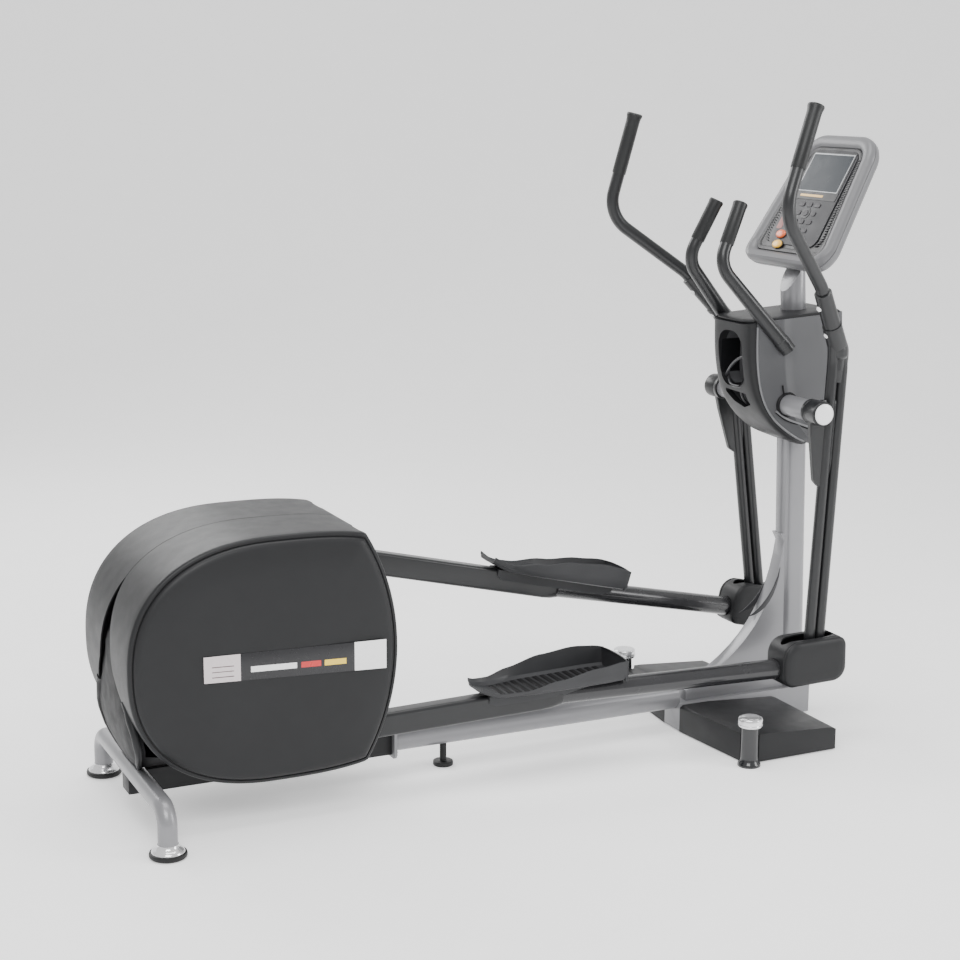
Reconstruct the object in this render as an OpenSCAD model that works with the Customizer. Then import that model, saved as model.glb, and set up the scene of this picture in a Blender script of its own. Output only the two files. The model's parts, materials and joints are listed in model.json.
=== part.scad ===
// Rear-drive elliptical trainer. The user faces +X, +Y is the user's left, +Z is up.
// The origin is on the floor under the middle levelling foot.

/* [Linkage] */
// Radius of the crank
crank_r = 235; // [180:1:240]
// Crank axle, distance behind the middle foot
crank_back = 574; // [540:1:600]
// Crank axle height
crank_z = 403; // [390:1:420]
// Angle of the right crank, from forward towards up
crank_phase = -111.5; // [-115:0.5:-105]
// Pedal arm length, crank pin to link pin
arm_len = 1664; // [1650:1:1680]
// Handlebar pivot axle, distance ahead of the middle foot
pivot_x = 981; // [960:1:1000]
// Handlebar pivot axle height
pivot_z = 921; // [900:1:940]
// Drop from the pivot axle to the link pin
link_drop = 700; // [690:1:720]
// Forward offset of the link pin
link_fwd = 30; // [20:1:40]

/* [Frame] */
// Outer diameter of the round centre rail
rail_d = 72; // [60:1:76]
// Gap under the centre rail
rail_gap = 61; // [50:1:70]
// Rear stabiliser tube diameter
stab_d = 48; // [38:1:50]
// Half distance between the rear feet
rear_foot_y = 298; // [260:1:340]
// Distance of the rear stabiliser behind the middle foot
rear_foot_back = 844; // [830:1:860]
// Distance of the front base ahead of the middle foot
base_x = 706; // [690:1:720]
// Half width of the front base
base_y = 335; // [300:1:380]
// Length of the front base, along the rail
base_len = 318; // [300:1:340]
// Height of the front base at its rear edge
base_h = 84; // [70:1:90]
// Mast section along the rail
mast_w = 84; // [70:1:90]
// Mast section across the rail
mast_t = 60; // [50:1:70]
// Wall of the steel tubes
tube_wall = 2.5; // [2:0.5:4]

/* [Drive housing] */
// Half width of the housing over its side faces
housing_y = 216; // [210:1:230]
// Wall of the plastic shells
shell_wall = 4; // [3:0.5:5]
// Radius of the large drive pulley
pulley_r = 140; // [120:1:150]
// Radius of the flywheel
flywheel_r = 118; // [100:1:120]
// Radius of the small pulley on the flywheel
pinion_r = 24; // [20:1:28]

/* [Arms] */
// Distance of the pedal arms from the middle
arm_y = 140; // [138:1:142]
// Distance of the link pins from the middle
link_y = 234; // [230:1:240]
// Height of the square pedal arm
arm_h = 62; // [50:1:64]
// Width of the square pedal arm
arm_w = 48; // [40:1:50]
// Diameter of the round front part of a pedal arm
arm_d = 54; // [40:1:56]
// Diameter of each of the twin tubes of a swing arm
twin_d = 30; // [24:1:32]
// Diameter of the moving handlebars
handle_d = 35; // [28:1:38]
// Foot pedal length
pedal_len = 415; // [360:1:430]
// Foot pedal width
pedal_w = 160; // [140:1:170]

/* [Console and shroud] */
// Half width of the pivot shroud
shroud_y = 105; // [95:1:110]
// Console width
console_w = 384; // [340:1:400]
// Console height along its face
console_h = 400; // [360:1:420]
// Angle of the console face from level
console_tilt = 60; // [50:1:70]
// Console post diameter
neck_d = 69; // [56:1:74]

/* [Clearances] */
// Radial clearance of a running fit
run = 0.05; // [0.02:0.01:0.1]
// Side clearance between pieces that turn past each other
side_gap = 0.4; // [0.3:0.1:1]

/* [Hidden] */
$fn = 48;
steel = [0.72, 0.72, 0.74];
dark = [0.17, 0.18, 0.19];
black = [0.05, 0.05, 0.06];

// Linkage: pin and link positions in the side plane, right = -1, left = 1
axle_p = [pivot_x, pivot_z];
crank_p = [-crank_back, crank_z];
link_len = norm([link_fwd, link_drop]);
link_rest = atan2(-link_drop, link_fwd);
function pin_p(s) = crank_p + s * crank_r * -[cos(crank_phase), sin(crank_phase)];
function link_angle(s) = let (v = pin_p(s) - axle_p, d = norm(v))
    atan2(v.y, v.x) + acos((link_len^2 + d^2 - arm_len^2) / (2 * link_len * d));
function link_p(s) = axle_p + link_len * [cos(link_angle(s)), sin(link_angle(s))];
function swing_rest(s) = link_rest - link_angle(s);
function arm_tilt(s) = asin((pin_p(s).y - link_p(s).y) / arm_len);

// Bent tubes
bend_proud = 0.4;

// Frame
rail_z = rail_gap + rail_d / 2;
rear_rail_w = 60;
rear_rail_top = 121;
stab_z = 115;
stab_r = stab_d / 2;
stab_bend = 70;
foot_r = 46;
foot_h = 14;
collar_h = 14;
rail_joint_x = -150;
rail_front = base_x + 4;
foot_stud_r = 9;
mid_foot_r = 27;
mid_foot_h = 12;
post_r = 23;
post_x = base_x + 36;
post_y = base_y + 2;
base_rake = 30;
cap_r = 32.5;
cap_z = 112;
post_top = 136;
mast_base = base_h;
mast_foot_x = 1090;
mast_top_x = 1060;
mast_top = 1150;
mast_lean = atan2(mast_foot_x - mast_top_x, mast_top - mast_base);
neck_top = 1330;

// Pivot axle and hubs
axle_tube_r = 28;
axle_shaft_r = 16;
axle_tube_y = 210;
hub_y0 = axle_tube_y + 1;
hub_y1 = 270;
hub_r = 33;
bush_r = 20;
axle_cap_r = 28;
axle_cap_t = 8;

// Drive layout across the machine, measured from the middle plane
plate_y = 40;
plate_t = 8;
shaft_r = 12.5;
bearing_r = 26;
boss_r = 34;
boss_l = 18;
crank_arm_y = 70;
crank_arm_t = 20;
crank_end_r = 24;
pin_r = 11;
pin_stub = 14;
arm_bush_r = 20;
arm_boss_r = arm_h / 2;
belt_y0 = -24;
belt_w = 18;
belt_t = 4;
wheel_y0 = 4;
wheel_t = 24;
wheel_shaft_r = 8;
wheel_x = crank_p.x + 198;
wheel_z = crank_p.y - 141;
idler_r = 18;
brake_gap = 3;

// Housing outline in the side plane, a squared oval cut by a large front arc
oval_x = crank_p.x + 43;
oval_z = crank_p.y + 14;
oval_rear = 372;
oval_front = 440;
oval_h = 309;
front_arc_r = 560;
front_arc_x = oval_x - 244;
rim_gap = 1;
face_inset = 14;
slot_y0 = 104;
slot_y1 = 176;
slot_x = -345;
housing_dome = 10;

// Console
screen_x = 1151;
screen_z = 1535;
console_t = 46;
bezel_t = 5;
key_travel = 1.5;

// Handlebars, in the swing arm's own frame: x, outward, z from the pivot axle
bend2_p = [64, link_y, 163];
sleeve_p = [-30, 281, 324];
bend1_p = [-219, 366, 537];
top_p = [-114, 328, 799];
handle_bend = 60;
sleeve_r = 22;
twin_r = twin_d / 2;
twin_step = twin_r + 0.5;

// Link joint, across the machine
link_pin_r = 12;
link_hub_r = 28;
link_hub_w = 40;
washer_t = 5.2;
cheek_t = 8;
pin_head_t = 6;
cheek_in = link_hub_w / 2 + washer_t + 2 * side_gap;
boot_rear = 115;
boot_front = 82;
boot_low = 45;
boot_high = 80;
boot_half = 50;

// ---- helpers ----
function unit(v) = v / norm(v);
function bend_len(a, b, c, r) = r / tan(acos(unit(a - b) * unit(c - b)) / 2);
function spow(v, e) = sign(v) * pow(abs(v), e);
function bez(p, t) = p[0] * (1 - t)^3 + p[1] * 3 * t * (1 - t)^2 + p[2] * 3 * t^2 * (1 - t)
    + p[3] * t^3;
function inset(p, d) = let (n = len(p)) [for (i = [0:n - 1])
    let (u = unit(p[i] - p[(i + n - 1) % n]), w = unit(p[(i + 1) % n] - p[i]),
        m = [-u.y, u.x] + [-w.y, w.x])
    p[i] + m * d / (1 + u * w)];

// Left side as drawn, right side mirrored
module side(s) {
    if (s > 0) children();
    else mirror([0, 1, 0]) children();
}
// A round bar from a to b
module rod(a, b, r) {
    v = b - a;
    translate(a) rotate([0, acos(v.z / norm(v)), atan2(v.y, v.x)]) cylinder(h = norm(v), r = r);
}
// A cylinder across the machine, from y0 to y1
module cross(x, z, y0, y1, r) {
    translate([x, y0, z]) rotate([-90, 0, 0]) cylinder(h = y1 - y0, r = r);
}
// A side-plane outline given thickness across the machine, from y0 to y1
module slab(y0, y1) {
    translate([0, y1, 0]) rotate([90, 0, 0]) linear_extrude(y1 - y0) children();
}
// The bends stand a hair proud of the bars and lap over their ends
module bend(a, b, c, r, br) {
    u = unit(a - b);
    w = unit(c - b);
    th = acos(u * w);
    s = b + u * br / tan(th / 2);
    ctr = b + unit(u + w) * br / sin(th / 2);
    ex = unit(s - ctr);
    ez = cross(ex, -u);
    lap = 60 / br;
    multmatrix([[ex.x, -u.x, ez.x, ctr.x], [ex.y, -u.y, ez.y, ctr.y], [ex.z, -u.z, ez.z, ctr.z],
        [0, 0, 0, 1]]) rotate([0, 0, -lap])
        rotate_extrude(angle = 180 - th + 2 * lap) translate([br, 0]) circle(r + bend_proud);
}
// A bent round bar through the corner points p
module pipe(p, r, br) {
    n = len(p);
    for (i = [0:n - 2]) {
        d = unit(p[i + 1] - p[i]);
        t0 = i == 0 ? 0 : bend_len(p[i - 1], p[i], p[i + 1], br) - 2;
        t1 = i == n - 2 ? 0 : bend_len(p[i], p[i + 1], p[i + 2], br) - 2;
        rod(p[i] + d * t0, p[i + 1] - d * t1, r);
    }
    if (n > 2) for (i = [1:n - 2]) bend(p[i - 1], p[i], p[i + 1], r, br);
}
module on_swing(s) {
    side(s) translate([pivot_x, 0, pivot_z]) rotate([0, swing_rest(s), 0]) children();
}
module on_arm(s) {
    side(s) translate([link_p(s).x, 0, link_p(s).y]) rotate([0, arm_tilt(s), 0]) children();
}
// x runs up the console face, y across, z out of the face towards the user
module on_console() {
    translate([screen_x, 0, screen_z]) rotate([0, -console_tilt, 0]) children();
}

// ---- frame ----
module main_rail() color(steel) {
    difference() {
        translate([rail_joint_x, 0, rail_z]) rotate([0, 90, 0])
            cylinder(h = rail_front - rail_joint_x, r = rail_d / 2);
        translate([rail_joint_x - 1, 0, rail_z]) rotate([0, 90, 0])
            cylinder(h = rail_front - rail_joint_x + 2, r = rail_d / 2 - tube_wall);
        cylinder(h = rail_z, r = foot_stud_r);
    }
    translate([rail_joint_x - 10, -45, rail_gap - 9]) cube([10, 90, 90]);
}
module rear_rail() color(steel) difference() {
    translate([-rear_foot_back - stab_r + 4, -rear_rail_w / 2, rail_gap])
        cube([rear_foot_back + stab_r - 14 + rail_joint_x, rear_rail_w, rear_rail_top - rail_gap]);
    translate([-rear_foot_back + stab_r + 6, -rear_rail_w / 2 + tube_wall, rail_gap + tube_wall])
        cube([rear_foot_back + rail_joint_x, rear_rail_w - 2 * tube_wall,
            rear_rail_top - rail_gap - 2 * tube_wall]);
    cross(-rear_foot_back, stab_z, -rear_rail_w, rear_rail_w, stab_r);
}
module rear_stabiliser() color(steel) {
    leg = foot_h + collar_h;
    pipe([for (q = [[-1, leg], [-1, stab_z], [1, stab_z], [1, leg]])
        [-rear_foot_back, q.x * rear_foot_y, q.y]], stab_r, stab_bend);
}
module rear_feet() color(black) for (s = [-1, 1])
    translate([-rear_foot_back, s * rear_foot_y, 0]) {
        cylinder(h = 4, r = foot_r - 3);
        translate([0, 0, 4]) cylinder(h = foot_h - 4, r = foot_r);
    }
module foot_collars() color(steel) for (s = [-1, 1])
    translate([-rear_foot_back, s * rear_foot_y, foot_h]) {
        cylinder(h = 5, r = foot_r - 4);
        translate([0, 0, 5]) cylinder(h = collar_h - 5, r1 = foot_r - 6, r2 = stab_r + 4);
    }
module mid_foot() color(black) {
    cylinder(h = mid_foot_h, r = mid_foot_r);
    translate([0, 0, mid_foot_h]) cylinder(h = rail_gap - mid_foot_h + 4, r = foot_stud_r);
}
module front_beam() color(steel) difference() {
    union() {
        translate([base_x, -40, 4]) cube([mast_foot_x + mast_w / 2 + 6 - base_x, 80, base_h - 4]);
        // Cross bar that carries the levellers
        translate([post_x + 4, -post_y, 38]) cube([18, 2 * post_y, 24]);
    }
    translate([base_x - 1, 0, rail_z]) rotate([0, 90, 0])
        cylinder(h = rail_front - base_x + 1, r = rail_d / 2);
    for (s = [-1, 1]) translate([post_x, s * post_y, 0]) cylinder(h = base_h, r = post_r);
}
module base_plan(d) polygon([[base_x + d, 40 - d], [base_x + base_rake + d, base_y - d],
    [base_x + base_len - d, base_y - 5 - d], [base_x + base_len - d, 40 - d]]);
module base_side(d) polygon([[base_x, 3 - d], [base_x + base_len, 3 - d],
    [base_x + base_len, base_h - 24 - d], [base_x + base_len - 14, base_h - 18 - d],
    [base_x + 90, base_h - 4 - d], [base_x + 10, base_h - 4 - d], [base_x, base_h - 12 - d]]);
module base_cover(s) color(dark) side(s) difference() {
    intersection() {
        linear_extrude(base_h) base_plan(0);
        slab(0, base_y + 10) base_side(0);
    }
    intersection() {
        linear_extrude(base_h) base_plan(shell_wall);
        slab(0, base_y + 10) base_side(shell_wall);
    }
    translate([post_x, post_y, 0]) cylinder(h = base_h + 1, r = post_r + 9);
}
module levellers() color(dark) for (s = [-1, 1]) translate([post_x, s * post_y, 0]) {
    cylinder(h = 8, r = post_r + 8);
    translate([0, 0, 8]) cylinder(h = 10, r1 = post_r + 6, r2 = post_r);
    translate([0, 0, 18]) cylinder(h = cap_z - 18, r = post_r);
}
module leveller_caps() color(steel) for (s = [-1, 1]) translate([post_x, s * post_y, cap_z]) {
    cylinder(h = post_top - cap_z - 5, r = cap_r);
    translate([0, 0, post_top - cap_z - 5]) cylinder(h = 5, r1 = cap_r, r2 = cap_r - 5);
}

// Mast: a flat-sided oval tube with a curved gusset that sweeps back along the rail
gusset_t = 44;
gusset_top = 512;
function mast_x(z) = mast_foot_x - (z - mast_base) * tan(mast_lean);
module mast_section(grow) {
    r = mast_t / 2 + grow;
    polygon([for (q = [1, -1], a = [-90:9:90]) q * [(mast_w - mast_t) / 2 + r * cos(a), r * sin(a)]]);
}
module mast_bar(grow) {
    translate([mast_foot_x, 0, mast_base]) rotate([0, -mast_lean, 0])
        linear_extrude((mast_top - mast_base) / cos(mast_lean)) mast_section(grow);
}
module gusset_outline() {
    back = [for (t = [0:1 / 12:1]) bez([[mast_x(gusset_top) - 34, gusset_top],
        [mast_x(gusset_top) - 60, 330], [940, 200], [base_x + 30, base_h + 30]], t)];
    polygon(concat([[mast_x(gusset_top + 24), gusset_top + 24], [mast_x(gusset_top + 24) - 46,
        gusset_top + 24]], back, [[base_x + 30, base_h], [mast_foot_x, base_h]]));
}
module mast() color(steel) difference() {
    union() {
        mast_bar(0);
        // Saddle that carries the pivot axle
        translate([axle_p.x, -24, axle_p.y - 24]) cube([mast_x(axle_p.y) - axle_p.x, 48, 48]);
        slab(-gusset_t / 2, gusset_t / 2) gusset_outline();
    }
    cross(axle_p.x, axle_p.y, -mast_t, mast_t, axle_tube_r);
    translate([base_x, -mast_t, 0]) cube([mast_foot_x, 2 * mast_t, mast_base]);
    translate([base_x - 40, 0, rail_z]) rotate([0, 90, 0]) cylinder(h = 44, r = rail_d / 2);
}
module mast_inlays() color(dark) for (s = [-1, 1]) side(s) slab(gusset_t / 2, gusset_t / 2 + 2)
    polygon(concat([for (t = [0:0.125:1]) bez([[870, 268], [930, 290], [1010, 350], [1034, 440]], t)],
        [for (t = [0.125:0.125:0.875]) bez([[1034, 440], [1026, 340], [960, 266], [870, 268]], t)]));
module console_post() color(steel) difference() {
    x0 = mast_x(mast_top);
    rod([x0, 0, mast_top], [x0 - 12, 0, neck_top], neck_d / 2);
    on_console() translate([-400, -200, -console_t]) cube([800, 400, 400]);
    mast_bar(0);
}

// ---- pivot ----
module pivot_axle() color(steel) {
    cross(axle_p.x, axle_p.y, -axle_tube_y, axle_tube_y, axle_tube_r);
    for (s = [-1, 1]) side(s)
        cross(axle_p.x, axle_p.y, axle_tube_y, hub_y1 + side_gap, axle_shaft_r);
}
module axle_caps() color("white") for (s = [-1, 1]) side(s)
    cross(axle_p.x, axle_p.y, hub_y1 + side_gap, hub_y1 + side_gap + axle_cap_t, axle_cap_r);

// Shroud outline, side plane, anticlockwise
seam = [[880, 1150], [884, 1040], [902, 950], [940, 885], [1000, 836], [1060, 806]];
function shroud_outline() = concat([for (i = [0:5]) seam[i]],
    [[1112, 800], [1152, 880], [1166, 1040], [1160, 1166]]);
back_line = [[1046, 800], [980, 830], [924, 880], [882, 948], [860, 1040], [854, 1142]];
holder_z0 = 962;
holder_z1 = 1122;
holder_y = 62;
holder_x = 932;
module bars_cut() {
    bars();
    mast_bar(0);
    cross(axle_p.x, axle_p.y, -shroud_y - 1, shroud_y + 1, axle_tube_r);
    rod([mast_x(mast_top), 0, mast_top], [mast_x(mast_top) - 12, 0, neck_top], neck_d / 2);
}
module shroud() color([0.42, 0.43, 0.45]) difference() {
    slab(-shroud_y, shroud_y) polygon(shroud_outline());
    slab(-shroud_y + shell_wall, shroud_y - shell_wall)
        polygon(concat([for (p = inset(shroud_outline(), shell_wall)) p]));
    slab(-shroud_y + shell_wall, shroud_y - shell_wall)
        polygon([[850, 1140], [850, 900], [1040, 790], [1070, 830], [940, 930], [900, 1140]]);
    bars_cut();
}
module shroud_back() color(dark) difference() {
    slab(-shroud_y, shroud_y) polygon(concat(seam, back_line));
    slab(-shroud_y + shell_wall, shroud_y - shell_wall)
        polygon([[880 + 1, 1140], [884, 1040], [902, 950], [940, 885], [1000, 836], [1030, 818],
            [1000, 826], [930, 882], [888, 950], [866, 1040], [860, 1138]]);
    translate([800, -holder_y, holder_z0]) cube([200, 2 * holder_y, holder_z1 - holder_z0]);
    bars_cut();
}
module bottle_holder() color(black) difference() {
    translate([862, -holder_y, holder_z0]) cube([holder_x - 862, 2 * holder_y,
        holder_z1 - holder_z0]);
    translate([800, -holder_y + 4, holder_z0 + 4])
        cube([holder_x - 804, 2 * holder_y - 8, holder_z1 - holder_z0 - 8]);
}

// ---- fixed handlebar ----
fix_r = 16;
fix_top = [837, 59, 1464];
fix_bend = [764, 80, 1308];
fix_in = [954, 114, 1089];
module bars() {
    p = [fix_top, fix_bend, fix_in];
    pipe(concat([for (q = p) [q.x, -q.y, q.z]], [for (i = [2:-1:0]) p[i]]), fix_r, 40);
}
module fixed_handlebar() color(dark) difference() {
    bars();
    for (s = [-1, 1]) side(s) rod(fix_top + (fix_bend - fix_top) * 0.66, fix_top * 2 - fix_bend, 22);
}
module fixed_grips() color(black) for (s = [-1, 1]) side(s) {
    u = unit(fix_top - fix_bend);
    a = fix_top + (fix_bend - fix_top) * 0.66;
    rod(a, fix_top, fix_r + 1.5);
    rod(fix_top, fix_top + u * 5, fix_r + 3);
}

// ---- console ----
console_lo = -283;
console_hi = console_h + console_lo;
module console_plan(grow) {
    // Widest above the shelf end, narrower and rounded at the top
    w = console_w / 2;
    half = concat([for (a = [0:10:90]) [console_lo + 70 - (70 + grow) * cos(a), w - 62
        + (62 + grow) * sin(a)]], [for (a = [0:10:90]) [console_hi - 82 + (82 + grow) * sin(a),
        w - 112 + (82 + grow) * cos(a)]]);
    polygon(concat(half, [for (i = [len(half) - 1:-1:0]) [half[i].x, -half[i].y]]));
}
module console_shell() color(steel) difference() {
    on_console() difference() {
        translate([0, 0, -console_t]) linear_extrude(console_t + 8) console_plan(0);
        translate([0, 0, -console_t + 10]) linear_extrude(console_t) console_plan(-38);
        bezel_holes();
    }
}
module bezel_holes() translate([0, 0, 0]) linear_extrude(40) console_plan(-34);
key_pitch = 36;
key_x = -92;
start_p = [-194, 60];
stop_p = [-225, 54];
button_r = 13;
module console_bezel() color(dark) on_console() difference() {
    translate([0, 0, -bezel_t]) linear_extrude(bezel_t) console_plan(-38);
    translate([-54, -90, -1.5]) cube([108, 180, 5]);
    for (q = [start_p, stop_p]) translate([q.x, q.y, -20]) cylinder(h = 40, r = button_r + 0.4);
}
module console_screen() color([0.35, 0.36, 0.38]) on_console()
    translate([-54, -90, -1.5]) cube([108, 180, 2]);
module keypad() color([0.2, 0.2, 0.22]) on_console()
    for (i = [0:3], j = [-1:1]) translate([key_x - i * 26, j * key_pitch, 0])
        translate([-7, -12, 0]) cube([14, 24, 2]);
module button(q, c) color(c) on_console() translate([q.x, q.y, -3.2]) cylinder(h = 8, r = button_r);

// ---- drive housing ----
function oval(d) = [for (a = [0:4:356]) let (c = cos(a), s = sin(a),
    ax = c > 0 ? oval_front : oval_rear, n = c > 0 ? 3 : 2.35)
    [oval_x + (ax - d) * spow(c, 2 / n), oval_z + (oval_h - d) * spow(s, 2 / n)]];
module housing_plan(d) intersection() {
    polygon(oval(d));
    translate([front_arc_x, oval_z]) circle(r = front_arc_r - d, $fn = 180);
}
module housing(s) color(dark) side(s) difference() {
    union() {
        slab(rim_gap, housing_y - face_inset) housing_plan(0);
        slab(housing_y - face_inset, housing_y) housing_plan(9);
        slab(housing_y, housing_y + housing_dome) housing_plan(34);
    }
    slab(-5, housing_y - face_inset - 2) housing_plan(shell_wall);
    // The rims part from each other towards the bottom at the rear and underneath
    translate([-1000, 0, 0]) rotate([90, 0, 90]) linear_extrude(400)
        polygon([[-5, 610], [0.5, 610], [58, 400], [slot_y1 - 4, 245], [slot_y1 - 4, 0], [-5, 0]]);
    translate([-600.5, -5, 0]) cube([400, slot_y1 + 1, 200]);
    // Slot for the pedal arm in the front
    translate([slot_x, slot_y0, 60]) cube([200, slot_y1 - slot_y0, oval_z + oval_h - 72]);
}
module housing_liner() color(black) difference() {
    slab(-58, 58) housing_plan(22);
    slab(-60, 60) housing_plan(26);
    translate([crank_p.x + 10, -70, 0]) cube([600, 140, 900]);
    translate([-1000, -70, 560]) cube([900, 140, 400]);
    translate([-1000, -70, 0]) cube([900, 140, 150]);
}
module label_plates() color([0.8, 0.8, 0.8]) for (s = [-1, 1]) side(s)
    slab(housing_y + housing_dome, housing_y + housing_dome + 1.2)
        polygon([[-724, 388], [-256, 368], [-256, 442], [-724, 453]]);

// ---- drive ----
module drive_plate(y0) slab(y0, y0 + plate_t) difference() {
    polygon([[crank_p.x - 66, rear_rail_top + 8], [wheel_x + 52, rear_rail_top + 8],
        [wheel_x + 44, wheel_z + 30], [wheel_x + 32, wheel_z + 138], [wheel_x - 38, wheel_z + 138],
        [crank_p.x + 44, crank_p.y + 60], [crank_p.x - 44, crank_p.y + 60]]);
    translate(crank_p) circle(bearing_r);
    translate([wheel_x, wheel_z]) circle(wheel_shaft_r + run);
}
module drive_frame() color([0.1, 0.1, 0.11]) {
    for (s = [-1, 1]) side(s) {
        drive_plate(plate_y);
        difference() {
            cross(crank_p.x, crank_p.y, plate_y + plate_t, plate_y + plate_t + boss_l, boss_r);
            cross(crank_p.x, crank_p.y, plate_y, plate_y + plate_t + boss_l + 1, bearing_r);
        }
    }
    translate([crank_p.x - 66, -plate_y - plate_t, rear_rail_top])
        cube([wheel_x + 118 - crank_p.x, 2 * (plate_y + plate_t), 8]);
    // Idler stub
    cross(idler_p.x, idler_p.y, -plate_y, belt_y0 - 1, 10);
    cross(idler_p.x, idler_p.y, belt_y0 - 1, belt_y0 + belt_w + 1, 6);
}
module crank_bearings() color(steel) for (s = [-1, 1]) side(s) difference() {
    cross(crank_p.x, crank_p.y, plate_y + 2, plate_y + plate_t + boss_l - 2, bearing_r);
    cross(crank_p.x, crank_p.y, plate_y, plate_y + plate_t + boss_l, shaft_r + run);
}
module crank_axle() color(steel)
    cross(crank_p.x, crank_p.y, -crank_arm_y - crank_arm_t, crank_arm_y + crank_arm_t, shaft_r);
module crank_arms() color(black) for (s = [-1, 1]) side(s) {
    q = pin_p(s);
    u = unit(q - crank_p);
    n = [-u.y, u.x] * (crank_end_r - 4);
    slab(crank_arm_y, crank_arm_y + crank_arm_t) difference() {
        union() {
            translate(crank_p) circle(crank_end_r + 4);
            translate(q) circle(crank_end_r);
            polygon([crank_p + n, q + n, q - n, crank_p - n]);
        }
        translate(crank_p) circle(shaft_r);
        translate(q) circle(pin_r);
    }
}
module crank_pins() color(steel) for (s = [-1, 1]) side(s)
    cross(pin_p(s).x, pin_p(s).y, crank_arm_y, crank_arm_y + crank_arm_t + pin_stub, pin_r);
module drive_pulley() color(black) slab(belt_y0, belt_y0 + belt_w) difference() {
    translate(crank_p) circle(pulley_r, $fn = 96);
    translate(crank_p) circle(shaft_r);
    for (a = [0:60:300]) translate(crank_p + 84 * [cos(a), sin(a)]) circle(26);
}
wheel_p = [wheel_x, wheel_z];
span = norm(wheel_p - crank_p);
span_a = atan2(wheel_p.y - crank_p.y, wheel_p.x - crank_p.x);
wrap = acos((pulley_r - pinion_r) / span);
function belt_n(s) = [cos(span_a + s * wrap), sin(span_a + s * wrap)];
idler_p = crank_p + (pulley_r + belt_t + idler_r + 1) * belt_n(-1)
    + (wheel_p - crank_p + (pinion_r - pulley_r) * belt_n(-1)) * 0.5;
module belt_loop(d) polygon(concat(
    [for (i = [0:50]) let (a = span_a + wrap + (360 - 2 * wrap) * i / 50)
        crank_p + (pulley_r + d) * [cos(a), sin(a)]],
    [for (i = [0:30]) let (a = span_a - wrap + 2 * wrap * i / 30)
        wheel_p + (pinion_r + d) * [cos(a), sin(a)]]));
module belt() color(black) slab(belt_y0 + 1, belt_y0 + belt_w - 1) difference() {
    belt_loop(belt_t + side_gap);
    belt_loop(side_gap);
}
module flywheel() color([0.3, 0.3, 0.32]) difference() {
    cross(wheel_x, wheel_z, wheel_y0, wheel_y0 + wheel_t, flywheel_r);
    cross(wheel_x, wheel_z, wheel_y0 + 8, wheel_y0 + wheel_t + 1, flywheel_r - 26);
    cross(wheel_x, wheel_z, wheel_y0 - 1, wheel_y0 + 9, wheel_shaft_r);
}
module flywheel_shaft() color(steel) {
    cross(wheel_x, wheel_z, -plate_y - plate_t, plate_y + plate_t, wheel_shaft_r);
    difference() {
        cross(wheel_x, wheel_z, belt_y0, belt_y0 + belt_w, pinion_r);
        cross(wheel_x, wheel_z, belt_y0 - 1, belt_y0 + belt_w + 1, wheel_shaft_r);
    }
}
module idler_pulley() color(steel) difference() {
    cross(idler_p.x, idler_p.y, belt_y0, belt_y0 + belt_w, idler_r);
    cross(idler_p.x, idler_p.y, belt_y0 - 1, belt_y0 + belt_w + 1, 6 + run);
}
module brake() color([0.25, 0.25, 0.27]) difference() {
    translate([wheel_x - 30, -2, wheel_z + 88]) cube([60, plate_y + 2, 46]);
    translate([wheel_x - 31, wheel_y0 - brake_gap, 0])
        cube([62, wheel_t + 2 * brake_gap, wheel_z + flywheel_r + 4]);
}

// ---- swing arms ----
twin_dir = unit([bend2_p.x - link_fwd, 0, bend2_p.z + link_drop]);
twin_side = [twin_dir.z, 0, -twin_dir.x];
module swing_arm(s) color(dark) on_swing(s) difference() {
    union() {
        for (q = [-1, 1]) rod([link_fwd, link_y, -link_drop] + q * twin_step * twin_side,
            bend2_p + q * twin_step * twin_side, twin_r);
        cross(link_fwd, -link_drop, link_y - link_hub_w / 2, link_y + link_hub_w / 2, link_hub_r);
        cross(0, 0, hub_y0, hub_y1, hub_r);
        slab(link_y - 7, link_y + 7)
            polygon([[-22, 20], [-16, -60], [2, -190], [14, -204], [44, -204], [86, 0], [70, 40]]);
        translate(bend2_p) sphere(sleeve_r + 9);
        rod(bend2_p, sleeve_p, sleeve_r);
    }
    cross(0, 0, hub_y0 - 1, hub_y1 + 1, bush_r);
    cross(link_fwd, -link_drop, link_y - 40, link_y + 40, link_pin_r + run);
    rod(sleeve_p + (bend2_p - sleeve_p) * 0.6, sleeve_p * 2 - bend2_p, handle_d / 2);
}
module handlebar(s) color(dark) on_swing(s) difference() {
    pipe([sleeve_p + (bend2_p - sleeve_p) * 0.6, sleeve_p + unit(sleeve_p - bend2_p) * 18,
        bend1_p, top_p], handle_d / 2, handle_bend);
    rod(bend1_p + (top_p - bend1_p) * 0.42, top_p * 2 - bend1_p, handle_d);
}
module grip(s) color(black) on_swing(s) {
    rod(bend1_p + (top_p - bend1_p) * 0.42, top_p, handle_d / 2 + 1.5);
    rod(top_p, top_p + unit(top_p - bend1_p) * 6, handle_d / 2 + 4);
}
module arm_bolts(s) color("white") on_swing(s) for (t = [0.3, 0.72]) {
    c = bend2_p + (sleeve_p - bend2_p) * t;
    difference() {
        rod(c, c + [-sleeve_r - 6, 0, -8], 7);
        rod(bend2_p - (sleeve_p - bend2_p) * 0.2, sleeve_p, sleeve_r);
        translate(bend2_p) sphere(sleeve_r + 9);
    }
}
module hub_bush(s) color([0.75, 0.6, 0.3]) on_swing(s) difference() {
    cross(0, 0, hub_y0, hub_y1, bush_r);
    cross(0, 0, hub_y0 - 1, hub_y1 + 1, axle_shaft_r + run);
}

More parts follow.
